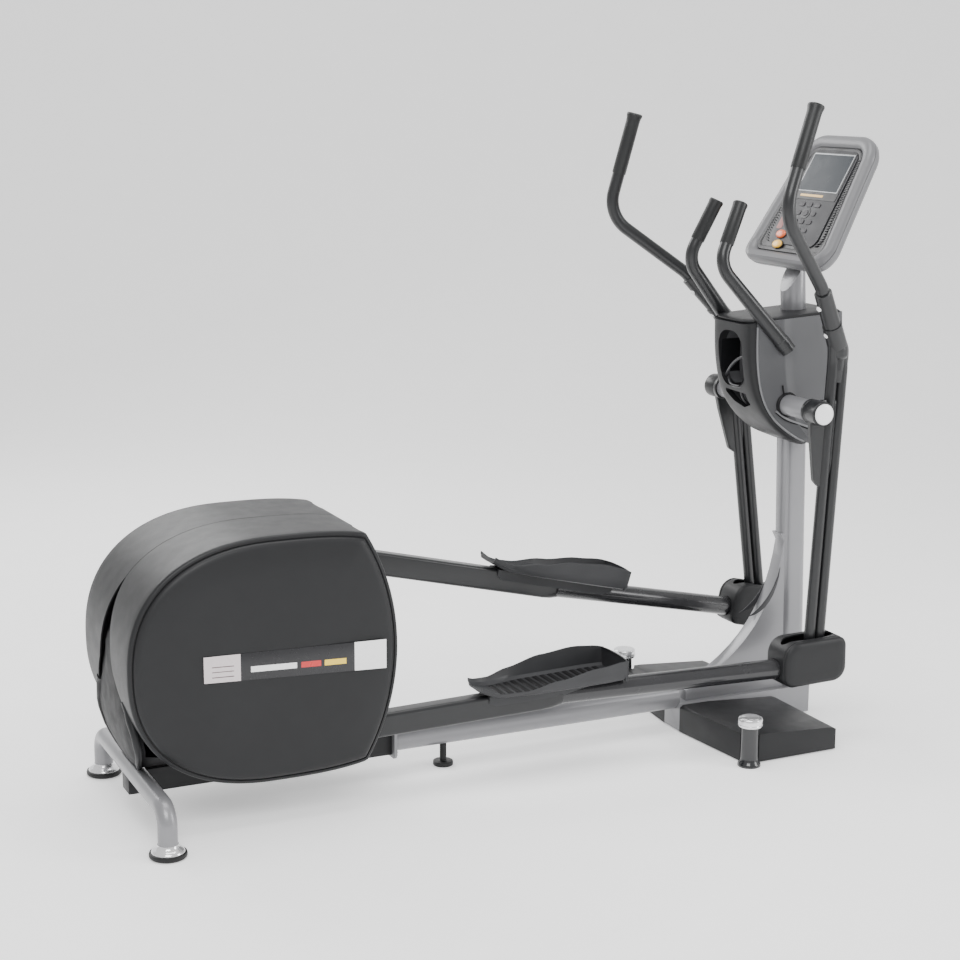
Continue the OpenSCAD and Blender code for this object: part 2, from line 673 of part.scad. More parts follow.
// ---- link joint and pedal arms, x = 0 at the link pin ----
module link_pin(s) color(steel) on_arm(s) {
    y = link_hub_w / 2 + side_gap;
    out = cheek_in + cheek_t + side_gap;
    cross(0, 0, link_y - out, link_y + out, link_pin_r);
    for (q = [-1, 1]) {
        cross(0, 0, link_y + q * (y + washer_t / 2) - washer_t / 2,
            link_y + q * (y + washer_t / 2) + washer_t / 2, link_pin_r + 8);
        cross(0, 0, link_y + q * (out + pin_head_t / 2) - pin_head_t / 2,
            link_y + q * (out + pin_head_t / 2) + pin_head_t / 2, link_pin_r + 6);
    }
}
box_front = 755;
fork_x = 64;
module arm_tube() {
    rod([-box_front, arm_y, 0], [-fork_x - 6, link_y, 0], arm_d / 2);
}
module pedal_arm(s) color(dark) on_arm(s) difference() {
    union() {
        translate([-arm_len, arm_y - arm_w / 2, -arm_h / 2])
            cube([arm_len - box_front, arm_w, arm_h]);
        cross(-arm_len, 0, arm_y - arm_w / 2 - 3, arm_y + arm_w / 2 + 3, arm_boss_r);
        difference() {
            arm_tube();
            translate([-box_front - 60, 0, -50]) cube([60, 300, 100]);
        }
        translate([-fork_x - 30, link_y - cheek_in - cheek_t, -24])
            cube([30, 2 * (cheek_in + cheek_t), 48]);
        for (q = [-1, 1]) slab(link_y + q * (cheek_in + cheek_t / 2) - cheek_t / 2,
            link_y + q * (cheek_in + cheek_t / 2) + cheek_t / 2) {
            circle(24);
            translate([-fork_x - 1, -24]) square([fork_x + 1, 48]);
        }
    }
    cross(-arm_len, 0, 0, arm_y * 2, 13);
    cross(0, 0, link_y - 60, link_y + 60, link_pin_r + run);
}
pedal_x = -975;
pedal_floor = arm_h / 2;
module pedal_wall() polygon([[0, 0], [pedal_len, 0], [pedal_len, 56],
    [pedal_len - 40, 62], [pedal_len - 150, 52], [pedal_len - 290, 26], [36, 12], [0, 12]]);
module pedal(s) color([0.3, 0.31, 0.33]) on_arm(s)
    translate([pedal_x, arm_y - pedal_w / 2, pedal_floor]) {
        cube([pedal_len, pedal_w, 5]);
        slab(0, 4) pedal_wall();
        slab(pedal_w - 4, pedal_w) pedal_wall();
        translate([pedal_len - 4, 4, 5]) cube([4, pedal_w - 8, 51]);
        slab(20, pedal_w - 20) polygon([[0, 5], [6, 5], [-28, 38], [-34, 36]]);
        for (q = [0, 1]) translate([24, q * (pedal_w - 12) + (q == 0 ? 0 : 0), -14])
            cube([pedal_len - 24, 12, 14]);
    }
module boot_plan(d) {
    r = 26 - d;
    x0 = -boot_rear + d;
    x1 = boot_front - d;
    z0 = -boot_low + d;
    z1 = boot_high - d;
    polygon(concat([for (a = [180:10:270]) [x0 + r + r * cos(a), z0 + r + r * sin(a)]],
        [for (a = [270:10:360]) [x1 - r * 1.4 + r * 1.4 * cos(a), z0 + r * 1.4 + r * 1.4 * sin(a)]],
        [for (a = [0:10:90]) [x1 - r + r * cos(a), z1 - r + r * sin(a)]],
        [for (a = [90:10:180]) [x0 + r * 1.8 + r * 1.8 * cos(a), z1 - r * 1.8 + r * 1.8 * sin(a)]]));
}
boot_open_x0 = -100;
boot_open_x1 = 66;
module boot(s) color(dark) on_arm(s) difference() {
    slab(link_y - boot_half, link_y + boot_half) boot_plan(0);
    slab(link_y - boot_half + shell_wall, link_y + boot_half - shell_wall) boot_plan(shell_wall);
    translate([boot_open_x0, link_y - twin_r - 9, 0])
        cube([boot_open_x1 - boot_open_x0, twin_d + 18, boot_high + 5]);
    arm_tube();
}

// ---- build ----
main_rail();
rear_rail();
rear_stabiliser();
rear_feet();
foot_collars();
mid_foot();
front_beam();
base_cover(-1);  // base_cover_right
base_cover(1);  // base_cover_left
levellers();
leveller_caps();
mast();
mast_inlays();
console_post();
pivot_axle();
axle_caps();
shroud();
shroud_back();
bottle_holder();
fixed_handlebar();
fixed_grips();
console_shell();
console_bezel();
console_screen();
keypad();
button(start_p, "orange");  // start_button
button(stop_p, "gold");  // stop_button
housing(-1);  // housing_right
housing(1);  // housing_left
housing_liner();
label_plates();
drive_frame();
crank_bearings();
brake();
belt();
crank_axle();
crank_arms();
crank_pins();
drive_pulley();
flywheel();
flywheel_shaft();
idler_pulley();
swing_arm(-1);  // swing_arm_right
swing_arm(1);  // swing_arm_left
handlebar(-1);  // handlebar_right
handlebar(1);  // handlebar_left
grip(-1);  // grip_right
grip(1);  // grip_left
arm_bolts(-1);  // arm_bolts_right
arm_bolts(1);  // arm_bolts_left
hub_bush(-1);  // hub_bush_right
hub_bush(1);  // hub_bush_left
link_pin(-1);  // link_pin_right
link_pin(1);  // link_pin_left
pedal_arm(-1);  // pedal_arm_right
pedal_arm(1);  // pedal_arm_left
pedal(-1);  // pedal_right
pedal(1);  // pedal_left
boot(-1);  // boot_right
boot(1);  // boot_left
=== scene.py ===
import json
import math

import bmesh
import bpy
from mathutils import Matrix, Vector

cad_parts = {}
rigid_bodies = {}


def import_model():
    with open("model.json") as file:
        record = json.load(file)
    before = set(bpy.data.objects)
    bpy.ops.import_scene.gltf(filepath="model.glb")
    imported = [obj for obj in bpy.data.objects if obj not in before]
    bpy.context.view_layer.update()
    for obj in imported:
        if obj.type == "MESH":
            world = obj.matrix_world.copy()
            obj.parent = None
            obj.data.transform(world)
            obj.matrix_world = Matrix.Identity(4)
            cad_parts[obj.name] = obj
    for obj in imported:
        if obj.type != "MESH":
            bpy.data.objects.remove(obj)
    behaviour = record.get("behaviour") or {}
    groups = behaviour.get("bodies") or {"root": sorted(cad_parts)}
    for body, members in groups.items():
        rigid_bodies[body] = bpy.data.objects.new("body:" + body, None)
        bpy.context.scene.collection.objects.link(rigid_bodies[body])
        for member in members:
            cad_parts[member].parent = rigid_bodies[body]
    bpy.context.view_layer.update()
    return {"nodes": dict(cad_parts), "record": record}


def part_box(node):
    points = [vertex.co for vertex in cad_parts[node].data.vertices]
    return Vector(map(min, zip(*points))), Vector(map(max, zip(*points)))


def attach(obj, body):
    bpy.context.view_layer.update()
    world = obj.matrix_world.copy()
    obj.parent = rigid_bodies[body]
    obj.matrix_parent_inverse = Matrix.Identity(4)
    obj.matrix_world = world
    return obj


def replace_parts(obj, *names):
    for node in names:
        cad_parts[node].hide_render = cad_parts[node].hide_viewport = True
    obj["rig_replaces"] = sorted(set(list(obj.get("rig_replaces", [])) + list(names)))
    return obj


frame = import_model()
BODY_OF = {n: b for b, nodes in frame["record"]["behaviour"]["bodies"].items() for n in nodes}
SLOT_OF = {s["node"]: s["material_slot"] for s in frame["record"]["subparts"]}
JOINT = {j["name"]: j for j in frame["record"]["behaviour"]["joints"]}
MM = 0.001


# ---------------------------------------------------------------- materials
def new_mat(name):
    m = bpy.data.materials.new(name)
    m.use_nodes = True
    nt = m.node_tree
    nt.nodes.clear()
    out = nt.nodes.new("ShaderNodeOutputMaterial")
    b = nt.nodes.new("ShaderNodeBsdfPrincipled")
    nt.links.new(b.outputs[0], out.inputs[0])
    tc = nt.nodes.new("ShaderNodeTexCoord")
    return m, nt, b, tc.outputs["Object"]


def noise(nt, co, scale, detail=3.0, stretch=None):
    if stretch:
        mp = nt.nodes.new("ShaderNodeMapping")
        mp.inputs["Scale"].default_value = stretch
        nt.links.new(co, mp.inputs[0])
        co = mp.outputs[0]
    n = nt.nodes.new("ShaderNodeTexNoise")
    n.inputs["Scale"].default_value = scale
    n.inputs["Detail"].default_value = detail
    nt.links.new(co, n.inputs["Vector"])
    return n.outputs["Fac"]


def ramp(nt, fac, stops):
    r = nt.nodes.new("ShaderNodeValToRGB")
    e = r.color_ramp.elements
    while len(e) < len(stops):
        e.new(0.5)
    for i, (p, c) in enumerate(stops):
        e[i].position = p
        e[i].color = (c, c, c, 1) if isinstance(c, (int, float)) else (*c, 1)
    nt.links.new(fac, r.inputs[0])
    return r.outputs[0]


def span(nt, fac, lo, hi):
    """Maps a noise to lo..hi"""
    m = nt.nodes.new("ShaderNodeMapRange")
    m.inputs["From Min"].default_value = 0.3
    m.inputs["From Max"].default_value = 0.7
    m.inputs["To Min"].default_value = lo
    m.inputs["To Max"].default_value = hi
    nt.links.new(fac, m.inputs[0])
    return m.outputs[0]


def bump(nt, bsdf, height, strength, distance):
    b = nt.nodes.new("ShaderNodeBump")
    b.inputs["Strength"].default_value = strength
    b.inputs["Distance"].default_value = distance
    nt.links.new(height, b.inputs["Height"])
    nt.links.new(b.outputs[0], bsdf.inputs["Normal"])
    return b


def finish_mat(name, color, rough, metal=0.0, var=0.12, grain=1400.0, grain_s=0.12, coat=0.0,
               spread=0.06, spec=0.5, stretch=None):
    """Moulded, painted or plated finish: mottled colour, uneven gloss and a fine grain."""
    m, nt, b, co = new_mat(name)
    tint = noise(nt, co, 7.0, 4.0)
    lo = [c * (1 - var) for c in color]
    hi = [min(1, c * (1 + var)) for c in color]
    nt.links.new(ramp(nt, tint, [(0.35, lo), (0.65, hi)]), b.inputs["Base Color"])
    nt.links.new(span(nt, noise(nt, co, 26.0, 5.0), max(0.02, rough - spread), rough + spread),
                 b.inputs["Roughness"])
    b.inputs["Metallic"].default_value = metal
    b.inputs["Coat Weight"].default_value = coat
    b.inputs["Coat Roughness"].default_value = 0.12
    b.inputs["Specular IOR Level"].default_value = spec
    if grain_s:
        bump(nt, b, noise(nt, co, grain, 2.0, stretch), grain_s, 0.0004)
    return m


def label_mat():
    """Printed strip: a grey field with thin rules, a black field with colour bars, a white field."""
    m, nt, b, co = new_mat("label_print")
    sep = nt.nodes.new("ShaderNodeSeparateXYZ")
    nt.links.new(co, sep.inputs[0])
    lo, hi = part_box("label_plates")
    x0, length = lo.x, hi.x - lo.x

    def unit(sock, start, size):
        mr = nt.nodes.new("ShaderNodeMapRange")
        mr.inputs["From Min"].default_value = start
        mr.inputs["From Max"].default_value = start + size
        nt.links.new(sock, mr.inputs[0])
        return mr.outputs[0]

    def steps(fac, stops):
        r = nt.nodes.new("ShaderNodeValToRGB")
        r.color_ramp.interpolation = "CONSTANT"
        e = r.color_ramp.elements
        while len(e) < len(stops):
            e.new(0.5)
        for i, (p, c) in enumerate(stops):
            e[i].position = p
            e[i].color = (*c, 1)
        nt.links.new(fac, r.inputs[0])
        return r.outputs[0]

    grey, black, white = (0.62, 0.56, 0.57), (0.012, 0.012, 0.014), (0.9, 0.9, 0.9)
    u = unit(sep.outputs[0], x0, length)
    # the strip drops a little towards the front, so the height is read along its slope
    slope = nt.nodes.new("ShaderNodeMath")
    slope.operation = "MULTIPLY_ADD"
    slope.inputs[1].default_value = LABEL_DROP
    nt.links.new(sep.outputs[0], slope.inputs[0])
    nt.links.new(sep.outputs[2], slope.inputs[2])
    v = unit(slope.outputs[0], lo.z + 0.012 + LABEL_DROP * x0, 0.066)
    base = steps(u, [(0.0, grey), (0.195, black), (0.82, white)])
    rules = steps(v, [(0.0, (0, 0, 0)), (0.3, (1, 1, 1)), (0.335, (0, 0, 0)), (0.5, (1, 1, 1)),
                      (0.53, (0, 0, 0)), (0.68, (1, 1, 1)), (0.715, (0, 0, 0))])
    rule_x = steps(u, [(0.0, (0, 0, 0)), (0.04, (1, 1, 1)), (0.16, (0, 0, 0))])
    bars = steps(u, [(0.0, black), (0.25, (0.85, 0.85, 0.85)), (0.5, black), (0.52, (0.55, 0.03, 0.03)),
                     (0.63, black), (0.65, (0.85, 0.6, 0.06)), (0.77, black)])
    bar_y = steps(v, [(0.0, (0, 0, 0)), (0.4, (1, 1, 1)), (0.62, (0, 0, 0))])

    def mix(fac, a, c, mode="MIX"):
        n = nt.nodes.new("ShaderNodeMix")
        n.data_type = "RGBA"
        n.blend_type = mode
        if isinstance(fac, float):
            n.inputs[0].default_value = fac
        else:
            nt.links.new(fac, n.inputs[0])
        nt.links.new(a, n.inputs[6])
        nt.links.new(c, n.inputs[7])
        return n.outputs[2]

    both = mix(1.0, rules, rule_x, "MULTIPLY")
    dark = nt.nodes.new("ShaderNodeRGB")
    dark.outputs[0].default_value = (0.09, 0.06, 0.06, 1)
    c = mix(both, base, dark.outputs[0])
    field = steps(u, [(0.0, (0, 0, 0)), (0.25, (1, 1, 1)), (0.78, (0, 0, 0))])
    c = mix(mix(1.0, bar_y, field, "MULTIPLY"), c, bars)
    nt.links.new(c, b.inputs["Base Color"])
    nt.links.new(span(nt, noise(nt, co, 40.0), 0.24, 0.34), b.inputs["Roughness"])
    bump(nt, b, noise(nt, co, 900.0), 0.03, 0.0003)
    return m


LABEL_DROP = 0.038

# what each material slot looks like; the label strip has its own material
FINISHES = {
    "frame_silver": dict(color=(0.225, 0.225, 0.235), rough=0.33, metal=0.35, var=0.02, grain=2600,
             grain_s=0.03, coat=0.25, spread=0.02),
    "bright_metal": dict(color=(0.80, 0.80, 0.81), rough=0.16, metal=0.8, var=0.02, grain=900,
             grain_s=0.02, spread=0.02),
    "foot_rubber": dict(color=(0.008, 0.008, 0.0085), rough=0.48, metal=0, var=0.15, grain=900,
             grain_s=0.2, spec=0.35),
    "leveller_black": dict(color=(0.010, 0.0105, 0.012), rough=0.2, metal=0, var=0.08, grain=900,
             grain_s=0.04, coat=0.4),
    "cover_dark": dict(color=(0.0125, 0.0128, 0.0138), rough=0.44, metal=0, var=0.05, grain=1700,
             grain_s=0.14, spread=0.03, spec=0.28),
    "shroud_grey": dict(color=(0.072, 0.073, 0.077), rough=0.42, metal=0, var=0.04, grain=1700,
             grain_s=0.13, spread=0.03, spec=0.35),
    "inlay_dark": dict(color=(0.035, 0.035, 0.038), rough=0.34, metal=0, var=0.06, grain=1200,
             grain_s=0.06, spec=0.35),
    "liner_black": dict(color=(0.004, 0.004, 0.0048), rough=0.55, metal=0, var=0.15, grain=1200,
             grain_s=0.15, spec=0.2),
    "arm_paint": dict(color=(0.010, 0.0105, 0.0115), rough=0.33, metal=0, var=0.06, grain=2400,
             grain_s=0.05, coat=0.10, spread=0.03, spec=0.45),
    "grip_rubber": dict(color=(0.009, 0.0095, 0.010), rough=0.42, metal=0, var=0.1, grain=1500,
             grain_s=0.25, spread=0.04, spec=0.4),
    "console_silver": dict(color=(0.15, 0.15, 0.156), rough=0.40, metal=0.15, var=0.01, grain=2600,
             grain_s=0.02, coat=0.08, spread=0.01, spec=0.4),
    "console_black": dict(color=(0.011, 0.011, 0.0125), rough=0.36, metal=0, var=0.08, grain=1700,
             grain_s=0.1, spec=0.4),
    "screen_glass": dict(color=(0.040, 0.045, 0.051), rough=0.32, metal=0, var=0.02, grain=300,
             grain_s=0.01, coat=0.0, spec=0.12),
    "key_grey": dict(color=(0.036, 0.034, 0.038), rough=0.45, metal=0, var=0.08, grain=1500,
             grain_s=0.12, spec=0.35),
    "start_orange": dict(color=(0.72, 0.13, 0.035), rough=0.3, metal=0, var=0.08, grain=900,
             grain_s=0.06, coat=0.3),
    "stop_yellow": dict(color=(0.9, 0.5, 0.05), rough=0.3, metal=0, var=0.06, grain=900, grain_s=0.06,
             coat=0.3),
    "drive_paint": dict(color=(0.03, 0.03, 0.032), rough=0.42, metal=0.2, var=0.15, grain=1500,
             grain_s=0.2),
    "machined_steel": dict(color=(0.55, 0.55, 0.56), rough=0.26, metal=1.0, var=0.06, grain=500,
             grain_s=0.12, stretch=(1, 14, 1)),
    "flywheel_iron": dict(color=(0.2, 0.2, 0.21), rough=0.4, metal=0.9, var=0.12, grain=300, grain_s=0.2,
             stretch=(1, 20, 1)),
    "pulley_plastic": dict(color=(0.028, 0.028, 0.03), rough=0.45, metal=0, var=0.15, grain=1500,
             grain_s=0.2),
    "belt_rubber": dict(color=(0.02, 0.02, 0.02), rough=0.6, metal=0, var=0.2, grain=1500, grain_s=0.3),
    "bush_bronze": dict(color=(0.52, 0.34, 0.15), rough=0.34, metal=1.0, var=0.12, grain=800,
             grain_s=0.12),
    "pedal_plastic": dict(color=(0.026, 0.0265, 0.0285), rough=0.42, metal=0, var=0.08, grain=1400,
             grain_s=0.16, spec=0.35),
}
SLOT_MATS = {name: finish_mat(name, **look) for name, look in FINISHES.items()}
SLOT_MATS["label_print"] = label_mat()
# painted highlight: a lighter grey for the lit edge along the shroud seam and the lit top of the ledge
PAINTED_EDGE_HIGHLIGHT = finish_mat("painted_edge_highlight", (0.16, 0.162, 0.168), 0.38, 0.1, 0.05, 900, 0.05, 0.1)
PANEL_GREY = finish_mat("panel_grey", (0.022, 0.022, 0.025), 0.42, 0.0, 0.08, 2600, 0.1, spec=0.35)
# near-white finish; on the axle caps it is a painted highlight over caps that are dark, and the clamp bolts
# share it
CAP_HIGHLIGHT_WHITE = finish_mat("cap_highlight_white", (0.88, 0.88, 0.88), 0.25, 0, 0.01, 900, 0.02, 0.4)
# painted highlight: a lighter, glossier copy of the arm paint for the sheen on the round pedal tubes
ARM_PAINTED_SHEEN = finish_mat("arm_painted_sheen", (0.022, 0.022, 0.024), 0.24, 0.2, 0.05, 2400, 0.04, 0.4)
TREAD = finish_mat("tread_rubber", (0.006, 0.006, 0.0065), 0.6, 0, 0.2, 700, 0.4, spec=0.25)
AMBER = finish_mat("amber_strip", (0.75, 0.48, 0.16), 0.35, 0, 0.05, 900, 0.05)
BEZEL_LINE = finish_mat("bezel_line", (0.33, 0.34, 0.35), 0.3, 0.3, 0.05, 900, 0.05)
RED_TRIM = finish_mat("trim_red", (0.22, 0.07, 0.06), 0.4, 0, 0.1, 1500, 0.12)


# ---------------------------------------------------------------- mesh helpers
def place(name, verts, faces, slot, body, nodes=(), smooth=40.0, mat=None, merge=0.00002):
    """A finished piece from points and faces, riding on a body."""
    me = bpy.data.meshes.new(name)
    me.from_pydata([tuple(v) for v in verts], [], faces)
    bm = bmesh.new()
    bm.from_mesh(me)
    bmesh.ops.remove_doubles(bm, verts=bm.verts, dist=merge)
    bmesh.ops.dissolve_degenerate(bm, edges=bm.edges, dist=merge)
    bmesh.ops.recalc_face_normals(bm, faces=bm.faces)
    bm.to_mesh(me)
    bm.free()
    return settle(name, me, slot, body, nodes, smooth, mat)


def settle(name, me, slot, body, nodes=(), smooth=40.0, mat=None):
    ob = bpy.data.objects.new(name, me)
    bpy.context.scene.collection.objects.link(ob)
    me.materials.clear()
    me.materials.append(mat or SLOT_MATS[slot])
    me.polygons.foreach_set("use_smooth", [True] * len(me.polygons))
    me.set_sharp_from_angle(angle=math.radians(smooth))
    if nodes:
        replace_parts(ob, *nodes)
    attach(ob, body)
    return ob


def modify(ob, kind, **kw):
    md = ob.modifiers.new(kind.lower(), kind)
    for k, v in kw.items():
        setattr(md, k, v)
    return md


def bake(ob, smooth=40.0):
    """Applies the modifiers."""
    dg = bpy.context.evaluated_depsgraph_get()
    me = bpy.data.meshes.new_from_object(ob.evaluated_get(dg))
    old = ob.data
    mats = list(old.materials)
    ob.modifiers.clear()
    ob.data = me
    me.materials.clear()
    for m in mats:
        me.materials.append(m)
    me.polygons.foreach_set("use_smooth", [True] * len(me.polygons))
    me.set_sharp_from_angle(angle=math.radians(smooth))
    bpy.data.meshes.remove(old)
    return ob


def cut(ob, verts, faces, smooth=35.0):
    """Cuts a closed shape out of a piece."""
    me = bpy.data.meshes.new("cutter")
    me.from_pydata([tuple(v) for v in verts], [], faces)
    bm = bmesh.new()
    bm.from_mesh(me)
    bmesh.ops.recalc_face_normals(bm, faces=bm.faces)
    bm.to_mesh(me)
    bm.free()
    c = bpy.data.objects.new("cutter", me)
    bpy.context.scene.collection.objects.link(c)
    bpy.context.view_layer.update()
    modify(ob, "BOOLEAN", operation="DIFFERENCE", solver="EXACT", object=c)
    bake(ob, smooth)
    bpy.data.objects.remove(c)
    bpy.data.meshes.remove(me)


def loft(rings, caps=True, wrap=False):
    """Points and faces of a skin over rings of equal length."""
    n = len(rings[0])
    verts = [p for r in rings for p in r]
    faces = []
    last = len(rings) if wrap else len(rings) - 1
    for i in range(last):
        a, b = i * n, ((i + 1) % len(rings)) * n
        for k in range(n):
            k2 = (k + 1) % n
            faces.append((a + k, a + k2, b + k2, b + k))
    if caps and not wrap:
        faces.append(tuple(range(n)))
        faces.append(tuple((len(rings) - 1) * n + k for k in range(n)))
    return verts, faces


def skin(name, rings, slot, body, nodes=(), smooth=40.0, mat=None):
    """A closed piece lofted over rings."""
    v, f = loft(rings)
    return place(name, v, f, slot, body, nodes, smooth, mat)


def fillet(points, radius, step=8.0):
    """A polyline with its corners rounded."""
    pts = [Vector(p) for p in points]
    out = [pts[0]]
    for a, b, c in zip(pts, pts[1:], pts[2:]):
        u, w = (a - b).normalized(), (c - b).normalized()
        th = math.acos(max(-1, min(1, u.dot(w))))
        r = radius
        t = r / math.tan(th / 2)
        lim = min((a - b).length, (c - b).length) * 0.49
        if t > lim:
            t = lim
            r = t * math.tan(th / 2)
        ctr = b + (u + w).normalized() * r / math.sin(th / 2)
        s, e = b + u * t - ctr, b + w * t - ctr
        ang = math.pi - th
        n = max(3, int(math.degrees(ang) / step) + 1)
        ax = s.cross(e).normalized()
        for i in range(n + 1):
            out.append(ctr + Matrix.Rotation(ang * i / n, 3, ax) @ s)
    out.append(pts[-1])
    return out


def sweep_rings(path, radii, sides=36):
    """Round rings along a path, kept from twisting."""
    pts = [Vector(p) for p in path]
    rings = []
    t_prev = (pts[1] - pts[0]).normalized()
    up = Vector((0, 1, 0)) if abs(t_prev.y) < 0.9 else Vector((1, 0, 0))
    n = (up - t_prev * up.dot(t_prev)).normalized()
    for i, p in enumerate(pts):
        if i == 0:
            t = (pts[1] - p).normalized()
        elif i == len(pts) - 1:
            t = (p - pts[i - 1]).normalized()
        else:
            t = ((p - pts[i - 1]).normalized() + (pts[i + 1] - p).normalized()).normalized()
        n = (n - t * n.dot(t)).normalized()
        b = t.cross(n)
        r = radii[i]
        rings.append([p + (n * math.cos(a) + b * math.sin(a)) * r
                      for a in (2 * math.pi * k / sides for k in range(sides))])
    return rings


def tube(name, path, r, slot, body, nodes=(), bend=0.06, sides=40):
    """A round tube of one radius along a path with rounded corners."""
    pts = fillet(path, bend, 6.0)
    return skin(name, sweep_rings(pts, [r] * len(pts), sides), slot, body, nodes, 35.0)


def lathe(name, origin, axis, profile, slot, body, nodes=(), sides=64, mat=None, wrap=False):
    """A turned shape: profile is (distance along the axis, radius)."""
    ax = Vector(axis).normalized()
    n = (Vector((0, 0, 1)) if abs(ax.z) < 0.9 else Vector((1, 0, 0)))
    n = (n - ax * n.dot(ax)).normalized()
    b = ax.cross(n)
    o = Vector(origin)
    rings = [[o + ax * h + (n * math.cos(a) + b * math.sin(a)) * max(r, 0.00015)
              for a in (2 * math.pi * k / sides for k in range(sides))] for h, r in profile]
    v, f = loft(rings, caps=not wrap, wrap=wrap)
    return place(name, v, f, slot, body, nodes, 35.0, mat)


def rounded_rect(w, h, r, n=8):
    """Corners of a rounded rectangle about the origin."""
    out = []
    for cx, cy, a0 in ((1, 1, 0), (-1, 1, 90), (-1, -1, 180), (1, -1, 270)):
        for i in range(n + 1):
            a = math.radians(a0 + 90 * i / n)
            out.append((cx * (w / 2 - r) + r * math.cos(a), cy * (h / 2 - r) + r * math.sin(a)))
    return out


def lerp(a, b, t):
    return a + (b - a) * t


def curve1(x, knots):
    """Smooth value through (x, y) knots."""
    if x <= knots[0][0]:
        return knots[0][1]
    for (x0, y0), (x1, y1) in zip(knots, knots[1:]):
        if x <= x1:
            t = (x - x0) / (x1 - x0)
            t = t * t * (3 - 2 * t)
            return lerp(y0, y1, t)
    return knots[-1][1]


# ---------------------------------------------------------------- camera, floor, light
cam = bpy.data.cameras.new("cam")
cam_ob = bpy.data.objects.new("cam", cam)
bpy.context.scene.collection.objects.link(cam_ob)
cam_ob.location = (-1.9884, -4.4006, 1.8072)
cam_ob.rotation_euler = (math.radians(77.9), 0, math.radians(-23.9))
cam.sensor_width = 36
cam.lens = 71.66
cam.shift_x = 0.0522
cam.shift_y = 0.0015
cam.clip_end = 100
bpy.context.scene.camera = cam_ob

# one sheet: a pale floor that curves up into a white backdrop
STAGE_MAT = finish_mat("stage_paint", (0.88, 0.88, 0.88), 0.7, 0, 0.01, 300, 0.0)
bsdf = next(n for n in STAGE_MAT.node_tree.nodes if n.type == "BSDF_PRINCIPLED")
bsdf.inputs["Emission Color"].default_value = (1, 1, 1, 1)
bsdf.inputs["Emission Strength"].default_value = 0.42
bsdf.inputs["Specular IOR Level"].default_value = 0.1
turn = Matrix.Rotation(math.radians(-23.9), 3, "Z")
profile = [(-9.0, 0.0), (0.0, 0.0), (4.0, 0.0)]
profile += [(4.0 + 5.0 * math.sin(math.radians(a)), 5.0 - 5.0 * math.cos(math.radians(a)))
            for a in range(6, 91, 6)] + [(9.0, 14.0)]
fv = [turn @ Vector((x, y, z)) for y, z in profile for x in (-16, 16)]
ff = [(2 * k, 2 * k + 1, 2 * k + 3, 2 * k + 2) for k in range(len(profile) - 1)]
me = bpy.data.meshes.new("floor")
me.from_pydata(fv, [], ff)
for poly in me.polygons:
    poly.use_smooth = True
floor = bpy.data.objects.new("floor", me)
bpy.context.scene.collection.objects.link(floor)
me.materials.append(STAGE_MAT)

world = bpy.data.worlds.new("studio")
world.use_nodes = True
world.node_tree.nodes["Background"].inputs[0].default_value = (1.0, 1.0, 1.0, 1)
world.node_tree.nodes["Background"].inputs[1].default_value = 0.85
bpy.context.scene.world = world


def area(name, loc, target, size, power):
    li = bpy.data.lights.new(name, "AREA")
    li.shape = "RECTANGLE"
    li.size, li.size_y = size
    li.energy = power
    ob = bpy.data.objects.new(name, li)
    bpy.context.scene.collection.objects.link(ob)
    ob.location = loc
    ob.rotation_euler = (Vector(target) - Vector(loc)).to_track_quat("-Z", "Y").to_euler()


area("key", (-1.6, -3.2, 3.6), (0, 0, 0.5), (2.6, 2.0), 130)
area("side", (3.6, -2.6, 2.0), (0.4, 0, 0.6), (1.4, 2.6), 90)
area("back", (-1.0, 3.6, 3.0), (0, 0, 0.6), (3.0, 1.6), 90)
area("top", (0.0, 0.0, 4.5), (0, 0, 0), (3.4, 2.2), 110)

# ---------------------------------------------------------------- linkage positions
AXLE = Vector(JOINT["swing_right"]["pos_m"])
LINK = {-1: Vector(JOINT["link_pin_right"]["pos_m"]), 1: Vector(JOINT["link_pin_left"]["pos_m"])}
pin_lo, pin_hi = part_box("crank_pins")
PIN_R = 0.011
PIN = {-1: Vector((pin_lo.x + PIN_R, 0, pin_lo.z + PIN_R)),
       1: Vector((pin_hi.x - PIN_R, 0, pin_hi.z - PIN_R))}
LINK_REST = math.atan2(-0.700, 0.030)
SIDE = {-1: "right", 1: "left"}


def swing_point(s, p):
    """A point in a swing arm's own frame (x, outward, z from the pivot) to the row frame."""
    link = LINK[s]
    th = LINK_REST - math.atan2(link.z - AXLE.z, link.x - AXLE.x)
    x, y, z = p
    return Vector((AXLE.x + x * math.cos(th) + z * math.sin(th), s * y,
                   AXLE.z - x * math.sin(th) + z * math.cos(th)))


def arm_point(s, p):
    """A point in a pedal arm's own frame (x, outward, z from the link pin) to the row frame."""
    link, pin = LINK[s], PIN[s]
    length = math.hypot(pin.x - link.x, pin.z - link.z)
    th = math.asin((pin.z - link.z) / length)
    x, y, z = p
    return Vector((link.x + x * math.cos(th) + z * math.sin(th), s * y,
                   link.z - x * math.sin(th) + z * math.cos(th)))


# ---------------------------------------------------------------- drive housing
OVAL = (-0.531, 0.417)
REAR, FRONT, HIGH = 0.372, 0.440, 0.309
ARC = (-0.775, 0.560)
HOUSING_N = 240


def spow(v, e):
    return math.copysign(abs(v) ** e, v)


def housing_r(a, d=0.0):
    """Reach of the housing outline from the oval's centre, inset by d."""
    c, s = math.cos(a), math.sin(a)
    ax, n = (FRONT, 3.0) if c > 0 else (REAR, 2.35)
    r = ((abs(c) / (ax - d)) ** n + (abs(s) / (HIGH - d)) ** n) ** (-1 / n)
    # the front arc
    ox = ARC[0] - OVAL[0]
    bq = -ox * c
    disc = bq * bq - (ox * ox - (ARC[1] - d) ** 2)
    return min(r, -bq + math.sqrt(disc))


def housing_point(a, d, y, k=1.0):
    r = housing_r(a, d) * k
    return Vector((OVAL[0] + r * math.cos(a), y, OVAL[1] + r * math.sin(a)))


ANGLES = [2 * math.pi * i / HOUSING_N for i in range(HOUSING_N)]


